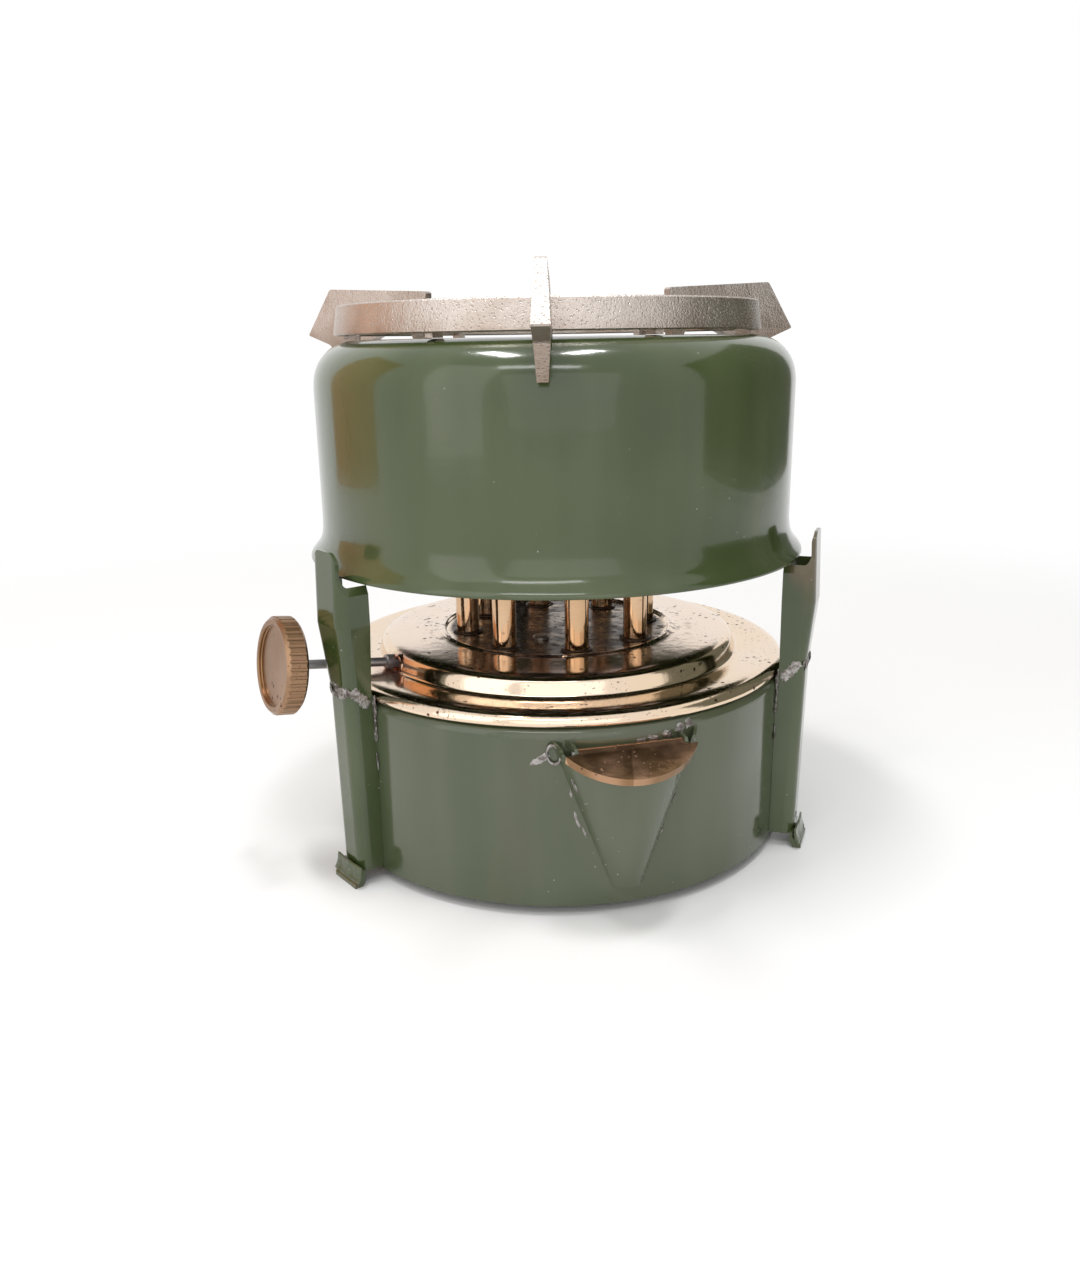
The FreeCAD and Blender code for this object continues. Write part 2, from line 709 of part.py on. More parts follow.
def gear_outline():
    """Outline of the pinion: involute teeth, the first one pointing along +X."""
    pitch = pitch_radius.value
    base = pitch * math.cos(math.radians(s.tooth_lean.value))
    lean = math.radians(s.tooth_lean.value)
    rolled = math.tan(lean) - lean
    count = int(s.tooth_count.value)
    half = (math.pi * s.tooth_size.value / 2 - s.tooth_play.value / 2) / (2 * pitch)
    low = pitch - s.tooth_root.value
    high = pitch + s.tooth_tip.value
    flank = [(low, half + rolled)]
    for step in range(4):
        radius = base + (high - base) * step / 3
        open_angle = math.acos(base / radius)
        flank.append((radius, half + rolled - (math.tan(open_angle) - open_angle)))
    points = []
    for tooth in range(count):
        middle = 2 * math.pi * tooth / count
        for radius, angle in flank:
            points.append(Vector(radius * math.cos(middle - angle), radius * math.sin(middle - angle), 0))
        for radius, angle in reversed(flank):
            points.append(Vector(radius * math.cos(middle + angle), radius * math.sin(middle + angle), 0))
    return points + points[:1]


def make_pinion():
    """Ten-tooth pinion fixed on the spindle, in mesh with the rack."""
    gear = Part.Face(Part.makePolygon(gear_outline())).extrude(Vector(0, 0, s.pinion_width.value))
    bore = Part.makeCylinder(s.spindle_radius.value + s.solder_gap.value, s.pinion_width.value)
    part = doc.addObject("Part::Feature", "pinion")
    part.Label = "pinion"
    part.Shape = gear.cut(bore)
    part.Placement = spindle_frame(-s.pinion_width / 2)
    return part


def make_lift_rack():
    """Upright rack whose teeth lean with the tilted spindle."""
    pitch = math.pi * s.tooth_size.value
    slope = math.tan(math.radians(s.tooth_lean.value))
    middle = pitch / 4 + s.tooth_play.value / 4
    near = pitch_radius.value - s.tooth_tip.value - 0.5
    far = pitch_radius.value + s.tooth_root.value
    long = s.rack_width.value * 3
    gaps = []
    for index in range(-5, 2):
        level = index * pitch
        wide = middle + (pitch_radius.value - near) * slope
        narrow = middle - (far - pitch_radius.value) * slope
        corners = [Vector(near, level - wide, 0), Vector(far, level - narrow, 0),
                   Vector(far, level + narrow, 0), Vector(near, level + wide, 0)]
        prism = Part.Face(Part.makePolygon(corners + corners[:1])).extrude(Vector(0, 0, long))
        prism.Placement = spindle_frame(-long / 2)
        gaps.append(prism)
    foot = carrier_base.value + s.carrier_plate.value + s.solder_gap.value
    tall = axis_level.value + s.rack_top.value - foot
    bar = Part.makeBox(s.rack_thickness.value + s.tooth_tip.value, s.rack_width.value, tall,
                       Vector(-s.tooth_tip.value, -s.rack_width.value / 2, foot))
    bar.Placement = Placement(Vector(), Rotation(Z_AXIS, s.spindle_azimuth.value))
    part = doc.addObject("Part::Feature", "lift_rack")
    part.Label = "lift_rack"
    part.Shape = bar.cut(gaps)
    return part


def make_spindle():
    """Steel wick spindle, from the inner bracket out into the knob."""
    length = s.knob_place + 5 - s.spindle_inner
    return rod("spindle", s.spindle_radius, length, spindle_frame(s.spindle_inner))


def make_spindle_bracket():
    """Sheet bracket under the sunk disc that carries the inner end of the spindle."""
    ceiling = well_top - s.brass - s.solder_gap
    low = axis_level - 7
    side = -(pitch_radius * 2)
    plate = block("bracket_plate", pitch_radius * 2 - 1, s.bracket_sheet, ceiling - low,
                  (side, -s.bracket_place, low))
    flange = block("bracket_flange", pitch_radius * 2 - 1, 7, s.bracket_sheet,
                   (side, -s.bracket_place, ceiling - s.bracket_sheet))
    whole = joined("bracket_blank", [plate, flange])
    whole.Placement = Placement(Vector(), Rotation(Z_AXIS, s.spindle_azimuth.value))
    bore = rod("bracket_bore", s.spindle_radius + s.running_gap, 16, spindle_frame(s.bracket_place - 8))
    return cut("spindle_bracket", whole, bore)


def make_gland():
    """Sleeve that the spindle leaves the tank through, with its packing ring."""
    sleeve = new_body("gland_sleeve")
    bore = s.spindle_radius + s.running_gap
    chamber = s.gland_radius - 0.6
    length = s.gland_outer - s.gland_inner
    turned(sleeve, [
        (bore, length),
        (bore, 6.0),
        (chamber, 6.0),
        (chamber, 0),
        (s.gland_radius, 0),
        (s.gland_radius, length, 0.8),
    ])
    sleeve.Placement = spindle_frame(s.gland_inner)
    packing = new_body("gland_packing")
    turned(packing, [
        (bore, 0.4),
        (chamber, 0.4),
        (chamber, 6.0),
        (bore, 6.0),
    ])
    packing.Placement = spindle_frame(s.gland_inner)
    return [sleeve, packing]


def make_knob():
    """Brass knob with a sunk plain face, a raised border and a grooved rim."""
    body = new_body("knob")
    bore = s.spindle_radius + s.solder_gap
    face = s.knob_width - s.knob_sink
    border = s.knob_radius - s.knob_border
    turned(body, [
        (bore, -s.hub_length),
        (s.knob_hub, -s.hub_length, 0.8),
        (s.knob_hub, 0, 1.0),
        (s.knob_radius, 0, 1.6),
        (s.knob_radius, s.knob_width, 1.8),
        (border, s.knob_width, 0.5),
        (border, face, 0.5),
        (0, face),
        (0, 5.2),
        (bore, 5.2),
    ])
    groove = sketch_on(body, "XY_Plane", s.knob_width + 1)
    circle(groove, s.knob_radius + s.knurl_radius * 0.45, 0, s.knurl_radius)
    patterned(body, pocketed(body, groove, s.knob_width + 2), s.knurl_count)
    body.Placement = spindle_frame(s.knob_place)
    return body


def leg_section(body, height, reach, half, inner, inset=0.0):
    """One level of a leg: a U that opens towards the tank."""
    sketch = sketch_on(body, "XY_Plane", height)
    edge = reach - inset
    side = half - inset
    bend = s.leg_bend - inset
    opening = inner - 2 if inset else inner
    outline(sketch, [
        (opening, -side),
        (edge, -side, bend),
        (edge, side, bend),
        (opening, side),
    ])
    return sketch


def make_leg(name, turns):
    """Pressed leg: lower channel on the tank, flared upper prong with a notch, and a foot."""
    body = new_body(f"{name}_channel")
    waist = tank_top + s.leg_waist
    shoulder = tank_top + s.leg_shoulder
    peak = drum_base + s.prong_height
    foot = tank_base + 1.5
    inside = s.tank_radius - 3
    edge = s.tank_radius + s.leg_edge
    upper = leg_face + s.leg_flare
    levels = [(foot, leg_face - s.leg_lean, s.leg_half, inside), (waist - 5, leg_face, s.leg_half, inside),
              (waist, leg_face, s.leg_half, edge), (shoulder, upper, s.leg_top_half, edge),
              (peak, upper - s.leg_lean, s.leg_top_half, edge)]
    lofted(body, "AdditiveLoft", [leg_section(body, *level) for level in levels])
    inner = [(foot - 1,) + levels[0][1:]] + levels[1:4] + [(peak + 1,) + levels[4][1:]]
    lofted(body, "SubtractiveLoft", [leg_section(body, *level, s.leg_sheet) for level in inner])
    wall = sketch_on(body, "XY_Plane", tank_top + s.rim_height + 1.2)
    circle(wall, 0, 0, s.tank_radius + s.solder_gap)
    pocketed(body, wall, s.tank_height + 6)
    notch = sketch_on(body, "XZ_Plane")
    seat = drum_base - s.seat_gap
    outline(notch, [
        (inside, seat),
        (s.drum_rim + s.rim_play, seat, 0.5),
        (s.drum_rim + s.rim_play, peak + 2),
        (inside, peak + 2),
    ])
    pocketed(body, notch, s.leg_top_half * 3, middle=True)
    crown = sketch_on(body, "YZ_Plane")
    for side in (1, -1):
        outline(crown, [
            ((s.leg_top_half + 1) * side, peak + 1),
            ((s.leg_top_half + 1) * side, seat - 4),
            (s.leg_top_half * side, seat - 4),
            (s.prong_half * side, seat + 2, 3.0),
            (s.prong_half * side, peak, s.prong_round),
            ((s.prong_half - s.prong_round - 1) * side, peak),
            ((s.prong_half - s.prong_round - 1) * side, peak + 1),
        ])
    pocketed(body, crown, upper + 5, flip=True)
    tab = new_body(f"{name}_foot")
    side_view = sketch_on(tab, "XZ_Plane")
    heel = leg_face - s.leg_lean
    toe = heel + s.foot_reach
    sheet = s.leg_sheet
    outline(side_view, [
        (heel - sheet, foot + 1),
        (heel, foot + 1),
        (heel, foot - 1.3, 1.2),
        (toe, 1.8, 0.8),
        (toe, 0),
        (toe - s.foot_flat, 0),
        (heel - sheet, foot - 2.8, 1.2),
    ])
    padded(tab, side_view, s.leg_half * 2, middle=True)
    azimuth = s.leg_azimuth + 120 * turns
    turn(body, azimuth)
    turn(tab, azimuth)
    return joined(name, [body, tab])


def make_drum_wall():
    """Drum's wall: flared lower rim and straight sheet up to the shoulder."""
    body = new_body("drum_wall")
    inner = s.drum_radius - s.sheet
    flare = drum_base + s.drum_rim_height
    seam = drum_top - s.drum_corner - s.solder_gap
    turned(body, [
        (s.drum_rim, drum_base, 0.5),
        (s.drum_rim, drum_base + s.drum_lip, 0.6),
        (s.drum_radius, flare, 5.0),
        (s.drum_radius, seam),
        (inner, seam),
        (inner, flare - 0.2, 5.8),
        (s.drum_rim - s.drum_lip, drum_base + s.drum_lip - 0.4),
        (s.drum_rim - s.drum_lip, drum_base),
    ])
    return body


def make_drum_crown():
    """Drum's crown: rounded shoulder, flat top and a collar turned down round the flame."""
    body = new_body("drum_crown")
    inner = s.drum_radius - s.sheet
    seam = drum_top - s.drum_corner
    collar = s.drum_mouth - s.sheet
    turned(body, [
        (s.drum_radius, seam),
        (s.drum_radius, drum_top, s.drum_corner - 0.01),
        (collar, drum_top, 1.8),
        (collar, drum_top - s.collar_depth),
        (s.drum_mouth, drum_top - s.collar_depth),
        (s.drum_mouth, drum_top - s.sheet, 1.0),
        (inner, drum_top - s.sheet, s.drum_corner - s.sheet - 0.01),
        (inner, seam),
    ])
    return body


def make_burner_base():
    """Ring that closes the flame space below, with a hole for each wick tube."""
    body = new_body("burner_base")
    edge = outer_flame - s.flame_sheet - s.solder_gap
    sketch = sketch_on(body, "XY_Plane", burner_base)
    circle(sketch, 0, 0, edge)
    circle(sketch, 0, 0, s.base_inner)
    padded(body, sketch, s.sheet)
    hole = sketch_on(body, "XY_Plane", burner_base + s.sheet + 1)
    circle(hole, s.tube_circle, 0, s.tube_radius + s.tube_play)
    patterned(body, pocketed(body, hole, s.sheet + 2), s.tube_count)
    turn(body, s.first_tube)
    return body


def make_flame_cylinder(label, radius, low, high, count):
    """One perforated flame cylinder."""
    body = new_body(label)
    turned(body, [
        (radius - s.flame_sheet, low),
        (radius, low),
        (radius, high),
        (radius - s.flame_sheet, high),
    ])
    vents = sketch_on(body, "YZ_Plane")
    for row in range(int(s.vent_rows.value)):
        circle(vents, 0, burner_base + s.vent_start + s.vent_pitch * row, s.vent_radius)
    patterned(body, pocketed(body, vents, radius + 1, flip=True), count)
    pins = sketch_on(body, "YZ_Plane")
    circle(pins, 0, burner_base + s.pin_lift, s.pin_radius + s.solder_gap)
    patterned(body, pocketed(body, pins, radius + 1, flip=True), s.pin_count)
    turn(body, s.pin_azimuth)
    return body


def make_cross_pins():
    """Pins that hold the two flame cylinders to each other."""
    pins = []
    for index in range(int(s.pin_count.value)):
        azimuth = s.pin_azimuth + index * 360 / s.pin_count
        pin = Part.makeCylinder(s.pin_radius.value, outer_flame.value - s.inner_flame.value + 4,
                                Vector(0, 0, s.inner_flame.value - 2))
        pin.rotate(Vector(), Vector(0, 1, 0), 90)
        pin.rotate(Vector(), Z_AXIS, azimuth.value - 90)
        pin.translate(Vector(0, 0, burner_base.value + s.pin_lift.value))
        pins.append(pin)
    group = doc.addObject("Part::Feature", "cross_pins")
    group.Label = "cross_pins"
    group.Shape = Part.makeCompound(pins)
    return group


def make_flame_cap():
    """Shallow cap on the inner flame cylinder."""
    body = new_body("flame_cap")
    top = inner_flame_top + s.solder_gap
    skirt = s.inner_flame + s.solder_gap
    turned(body, [
        (0, top),
        (skirt, top),
        (skirt, top - 4),
        (skirt + s.flame_sheet, top - 4),
        (skirt + s.flame_sheet, top + s.flame_sheet, 0.5),
        (s.inner_flame * 0.7, top + 2.2, 3.0),
        (0, top + 2.2),
    ])
    return body


def make_pan_support():
    """Cast pan support: low ring with standing pads and three fins hooked over the drum."""
    ring = new_body("pan_ring")
    low = drum_top + s.ring_lift
    high = low + s.ring_height
    top_out = s.ring_radius - s.ring_draft
    turned(ring, [
        (s.ring_radius, low, 0.6),
        (top_out, high, 0.9),
        (top_out - s.ring_wall + 0.6, high, 0.9),
        (s.ring_radius - s.ring_wall - 0.8, low, 0.6),
    ])
    shapes = [ring]
    for index in range(int(s.fin_count.value)):
        azimuth = s.fin_azimuth + 120 * index
        shapes.append(make_fin(f"pan_fin_{index + 1}", azimuth))
        for side in (1, -1):
            shapes.append(make_pad(f"pan_pad_{index + 1}_{side + 1}", azimuth + s.pad_angle * side))
    support = joined("pan_support", shapes)
    support.setExpression("Placement.Base.x", (-s.support_shift).formula)
    return support


def make_fin(label, azimuth):
    """One fin: top bearing edge, outer point, hooked prong, standing foot and inner lug."""
    body = new_body(label)
    low = drum_top + s.seat_gap
    clear = drum_top + s.prong_play
    hook = s.drum_radius + s.prong_play
    shoulder = s.drum_radius - s.drum_corner
    tip = drum_top - s.prong_end
    side_view = sketch_on(body, "XZ_Plane")
    outline(side_view, [
        (s.fin_inner, drum_top + s.fin_inner_height, 1.0),
        (s.fin_outer, drum_top + s.fin_outer_height, 2.0),
        (s.fin_tip, drum_top + s.fin_tip_height, 0.6),
        (s.fin_tip - 12, drum_top - 1.6, 3.0),
        (hook + 4.6, tip, 0.8),
        (shoulder + 2, tip),
        (shoulder + 2, clear),
        (s.fin_inner + 8, clear),
        (s.fin_inner + 7, low),
        (s.fin_inner + 1.5, low),
    ])
    padded(body, side_view, s.fin_width, middle=True)
    lug = sketch_on(body, "XZ_Plane")
    lug_low = drum_top + s.ring_height + 1
    outline(lug, [
        (s.fin_inner - s.lug_reach, lug_low),
        (s.fin_inner + 4, lug_low),
        (s.fin_inner + 4, lug_low + s.lug_height),
        (s.fin_inner - s.lug_reach, lug_low + s.lug_height, 1.0),
    ])
    padded(body, lug, s.fin_top_width, middle=True)
    drum = sketch_on(body, "XZ_Plane")
    circle(drum, shoulder, drum_top - s.drum_corner, s.drum_corner + s.prong_play)
    pocketed(body, drum, s.fin_width * 2, middle=True)
    front = sketch_on(body, "YZ_Plane")
    ridge = s.fin_width / 2
    top = s.fin_top_width / 2
    for side in (1, -1):
        outline(front, [
            (top * side, drum_top + s.fin_outer_height + 1),
            (s.fin_width * side, drum_top + s.fin_outer_height + 1),
            (s.fin_width * side, tip - 1),
            (top * side, tip - 1),
            (ridge * side, drum_top + s.fin_tip_height),
        ])
    pocketed(body, front, s.fin_tip + 2, flip=True)
    turn(body, azimuth)
    return body


def make_pad(label, azimuth):
    """Small standing pad under the ring."""
    body = new_body(label)
    inner = s.drum_radius - s.drum_corner - 3
    side = s.pad_width / 2
    sketch = sketch_on(body, "XY_Plane", drum_top + s.seat_gap)
    outline(sketch, [(inner, -side), (s.ring_radius - 2, -side), (s.ring_radius - 2, side), (inner, side)])
    padded(body, sketch, s.ring_lift + 2)
    turn(body, azimuth)
    return body


def make_filler_pocket():
    """Tapered filler pocket soldered to the tank's wall, with a sloping mouth."""
    foot = tank_base + s.filler_foot_level
    front = hinge_level - (s.filler_reach - s.knuckle_radius) * tangent(s.filler_slope)
    high = hinge_level + 6
    grow = (high - foot) / (front - foot)
    mouth_radius = s.filler_foot + (s.filler_radius - s.filler_foot) * grow
    foot_place = Vector(s.tank_radius.value + s.filler_foot_reach.value - s.filler_foot.value, 0, foot.value)
    lean = Placement(foot_place, Rotation(Vector(0, 1, 0), -s.filler_lean.value))
    shapes = []
    for label, inset in (("filler_outside", 0), ("filler_inside", s.sheet)):
        cone = doc.addObject("Part::Cone", label)
        bind(cone, "Radius1", s.filler_foot - inset)
        bind(cone, "Radius2", mouth_radius - inset)
        bind(cone, "Height", high - foot)
        lift = Placement(Vector(0, 0, number(inset)), Rotation())
        cone.Placement = filler_spin().multiply(lean).multiply(lift)
        shapes.append(cone)
    shell = cut("filler_cone", *shapes)
    wall = rod("filler_wall", s.tank_radius + s.solder_gap, high + 9, Placement())
    trimmed = cut("filler_on_wall", shell, wall)
    rim = s.knuckle_radius - s.lid_sheet - 0.3
    mouth = block("filler_mouth", 60, 80, 30, (0, 0, 0))
    mouth.Placement = lid_frame().multiply(Placement(Vector(-20, -40, rim.value), Rotation()))
    opened = cut("filler_with_mouth", trimmed, mouth)
    across = Placement(Vector(0, 40, 0), Rotation(Vector(1, 0, 0), 90))
    relief = rod("filler_relief", s.knuckle_radius + 0.5, 80, lid_frame().multiply(across))
    return cut("filler_pocket", opened, relief)


def filler_spin():
    """Turn that brings the filler's own +X to its azimuth."""
    return Placement(Vector(), Rotation(Z_AXIS, s.filler_azimuth.value - 90))


def lid_frame():
    """Placement on the lid's hinge: +X out along the sloping mouth, +Y along the hinge."""
    slope = Rotation(Vector(0, 1, 0), s.filler_slope.value)
    hinge = Placement(Vector(hinge_out.value, 0, hinge_level.value), slope)
    return filler_spin().multiply(hinge)


def make_filler_lid():
    """D-shaped brass flap with a turned edge and a rolled hinge."""
    body = new_body("filler_lid")
    under = s.knuckle_radius - s.lid_sheet
    reach = (s.filler_reach - (hinge_out - s.tank_radius)) / cosine(s.filler_slope)
    middle = reach + s.lid_overlap + s.lid_sheet - s.lid_radius
    start = s.knuckle_radius + 0.5
    plate = sketch_on(body, "XY_Plane", under - s.lid_skirt)
    circle(plate, middle, 0, s.lid_radius)
    padded(body, plate, s.lid_sheet + s.lid_skirt)
    hollow = sketch_on(body, "XY_Plane", under)
    circle(hollow, middle, 0, s.lid_radius - s.lid_sheet)
    pocketed(body, hollow, s.lid_skirt + 1)
    rear = sketch_on(body, "XY_Plane", s.knuckle_radius + 1)
    back = middle - s.lid_radius - 2
    wide = s.lid_radius + 2
    outline(rear, [(back, -wide), (start, -wide), (start, -s.lid_neck), (0, -s.lid_neck),
                   (0, s.lid_neck), (start, s.lid_neck), (start, wide), (back, wide)])
    pocketed(body, rear, s.lid_skirt + s.knuckle_radius * 2 + 2)
    knuckle = sketch_on(body, "XZ_Plane")
    circle(knuckle, 0, 0, s.knuckle_radius)
    padded(body, knuckle, s.lid_neck * 2, middle=True)
    bore = sketch_on(body, "XZ_Plane")
    circle(bore, 0, 0, s.hinge_pin_radius + s.hinge_play)
    pocketed(body, bore, s.lid_neck * 3, middle=True)
    body.Placement = lid_frame()
    return body


def make_lid_hinge():
    """Hinge pin of the lid and the two ears soldered to the tank."""
    near = s.lid_neck + s.ear_play
    half = near + s.ear_sheet + 0.4
    across = Placement(Vector(0, half.value, 0), Rotation(Vector(1, 0, 0), 90))
    pin = rod("lid_pin", s.hinge_pin_radius, half * 2, lid_frame().multiply(across))
    ears = []
    for name, lift in (("lid_ear_left", near), ("lid_ear_right", -(near + s.ear_sheet))):
        ear = new_body(name)
        sketch = sketch_on(ear, "XZ_Plane", lift)
        outline(sketch, [
            (s.tank_radius - 4, hinge_level + 2.6),
            (hinge_out + 2.0, hinge_level + 2.0, 1.8),
            (hinge_out + 2.0, hinge_level - 2.0, 1.8),
            (s.tank_radius - 4, hinge_level - 3.4),
        ])
        circle(sketch, hinge_out, hinge_level, s.hinge_pin_radius + s.solder_gap)
        padded(ear, sketch, s.ear_sheet)
        wall = sketch_on(ear, "XY_Plane", hinge_level + 6)
        circle(wall, 0, 0, s.tank_radius + s.solder_gap)
        pocketed(ear, wall, 14)
        turn(ear, s.filler_azimuth)
        ears.append(ear)
    return [pin] + ears


def make_everything():
    """Build every sub-part and hand back the list that is written out."""
    parts = [make_tank_shell(), make_tank_bottom(), make_burner_plate()]
    for index in range(int(s.tube_count.value)):
        parts.append(make_wick_tube(index))
        parts.append(make_wick(index))
    parts += [make_wick_carrier(), make_wick_clamps(), make_guide_rod(), make_guide_sleeve()]
    parts += [make_pinion(), make_lift_rack(), make_spindle(), make_spindle_bracket(), make_knob()]
    parts += make_gland()
    for turns, name in enumerate(("leg_left", "leg_right", "leg_rear")):
        parts.append(make_leg(name, turns))
    parts += [make_drum_wall(), make_drum_crown(), make_burner_base(), make_flame_cap(), make_cross_pins()]
    parts.append(make_flame_cylinder("outer_flame_cylinder", outer_flame, burner_base - 0.6, flame_top,
                                     s.outer_vents))
    parts.append(make_flame_cylinder("inner_flame_cylinder", s.inner_flame,
                                     burner_base + s.sheet + s.solder_gap, inner_flame_top,
                                     s.inner_vents))
    parts += [make_pan_support(), make_filler_pocket(), make_filler_lid()]
    parts += make_lid_hinge()
    return parts


def write_parts(parts):
    """Check the whole document, then write one file for each sub-part."""
    doc.recompute()
    for item in doc.Objects:
        state = [word for word in item.State if word in ("Invalid", "Error")]
        assert not state, f"{item.Label}: {state}"
    for part in parts:
        shape = part.Shape
        assert not shape.isNull() and shape.isValid() and shape.Solids, f"{part.Label}: bad shape"
    for part in parts:
        part.Shape.exportStep(f"parts/{part.Label}.step")
        solids = len(part.Shape.Solids)
        print(f"{part.Label}: {solids} solid, {part.Shape.Volume:.1f} mm3")


write_parts(make_everything())
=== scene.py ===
"""Finishes, drum, burner plate, solder work, wicks and studio for the multi-wick kerosene stove."""

import json
import logging
import math
from contextlib import contextmanager
from dataclasses import dataclass
from enum import Enum
from typing import Any, Iterable, Iterator, Sequence, Union

import bpy
from mathutils import Matrix, Vector

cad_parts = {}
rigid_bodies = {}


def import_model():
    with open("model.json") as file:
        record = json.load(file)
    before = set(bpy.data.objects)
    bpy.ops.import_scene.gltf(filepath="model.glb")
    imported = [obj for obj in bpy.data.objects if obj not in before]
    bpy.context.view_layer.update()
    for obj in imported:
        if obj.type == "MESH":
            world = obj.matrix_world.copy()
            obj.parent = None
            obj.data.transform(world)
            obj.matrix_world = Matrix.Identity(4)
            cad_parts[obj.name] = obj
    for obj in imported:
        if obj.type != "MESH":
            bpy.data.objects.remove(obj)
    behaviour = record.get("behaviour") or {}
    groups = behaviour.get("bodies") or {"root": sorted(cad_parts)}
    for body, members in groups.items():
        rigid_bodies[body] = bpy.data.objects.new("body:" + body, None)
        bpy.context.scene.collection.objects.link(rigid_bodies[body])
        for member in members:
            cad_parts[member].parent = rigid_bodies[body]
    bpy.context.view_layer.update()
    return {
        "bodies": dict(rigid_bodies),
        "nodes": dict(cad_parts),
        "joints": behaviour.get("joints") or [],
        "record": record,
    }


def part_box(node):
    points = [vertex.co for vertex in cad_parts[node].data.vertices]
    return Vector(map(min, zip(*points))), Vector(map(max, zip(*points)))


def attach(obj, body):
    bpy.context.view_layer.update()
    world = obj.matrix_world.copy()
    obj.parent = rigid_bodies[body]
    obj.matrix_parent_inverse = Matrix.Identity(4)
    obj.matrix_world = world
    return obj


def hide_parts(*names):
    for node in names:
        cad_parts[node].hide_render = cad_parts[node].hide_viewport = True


Finish = bpy.types.Material
Piece = bpy.types.Object
Value = Union["Wire", int, float]
Key = Union[int, str]
Colour = tuple[float, float, float]
Point = tuple[float, float, float]
Pair = tuple[float, float]
Outline = tuple[Pair, ...]

LOG = logging.getLogger("stove")
MM = 0.001
SHEET_MERGE = 0.000002
PIECE_MERGE = 0.000001
SMOOTH_BELOW = math.radians(50)
TANK_RADIUS = 92.5 * MM
SPINDLE_AZIMUTH = -57.0
# A line that looks for a CAD node's face starts this far from the stove's axis, in metres.
OUTSIDE = 0.2


class Slot(Enum):
    """The record's material slot names, listed beside some new pieces; no piece is given one."""

    ENAMEL = "green_enamel"
    BRASS = "brass"
    STEEL = "steel"
    COTTON = "cotton"


class Body(Enum):
    """The moving groups of the stove that carry new pieces."""

    BASE = "stove_base"
    LIFT = "wick_lift"
    DRUM = "drum"


class Wire:
    """An output socket of a material's node, open to plain arithmetic."""

    def __init__(self, graph: "Graph", socket: bpy.types.NodeSocket) -> None:
        """Keep the socket and the graph that it belongs to."""
        self.graph = graph
        self.socket = socket

    def _math(self, operation: str, *values: Value) -> "Wire":
        """Add one Math node on these values."""
        return self.graph.node("ShaderNodeMath", {"operation": operation}, dict(enumerate(values)))

    def __add__(self, other: Value) -> "Wire":
        """Sum of two values."""
        return self._math("ADD", self, other)

    __radd__ = __add__

    def __sub__(self, other: Value) -> "Wire":
        """Difference of two values."""
        return self._math("SUBTRACT", self, other)

    def __rsub__(self, other: float) -> "Wire":
        """Difference of a number and this value."""
        return self._math("SUBTRACT", other, self)

    def __mul__(self, other: Value) -> "Wire":
        """Product of two values."""
        return self._math("MULTIPLY", self, other)

    __rmul__ = __mul__

    def __pow__(self, other: float) -> "Wire":
        """This value raised to a power."""
        return self._math("POWER", self, other)

    def larger(self, other: Value) -> "Wire":
        """The larger of two values."""
        return self._math("MAXIMUM", self, other)

    def sine(self) -> "Wire":
        """Sine of this value."""
        return self._math("SINE", self)

    def between(self, low: float, high: float) -> "Wire":
        """Smooth step of this value, from 0 at low to 1 at high.

        Args:
            low: value that gives 0.
            high: value that gives 1; it may be below low.

        Returns:
            The mask.
        """
        if high < low:
            return 1 - self.between(high, low)
        values = {0: self, 1: low, 2: high, 3: 0.0, 4: 1.0}
        return self.graph.node("ShaderNodeMapRange", {"interpolation_type": "SMOOTHSTEP"}, values)


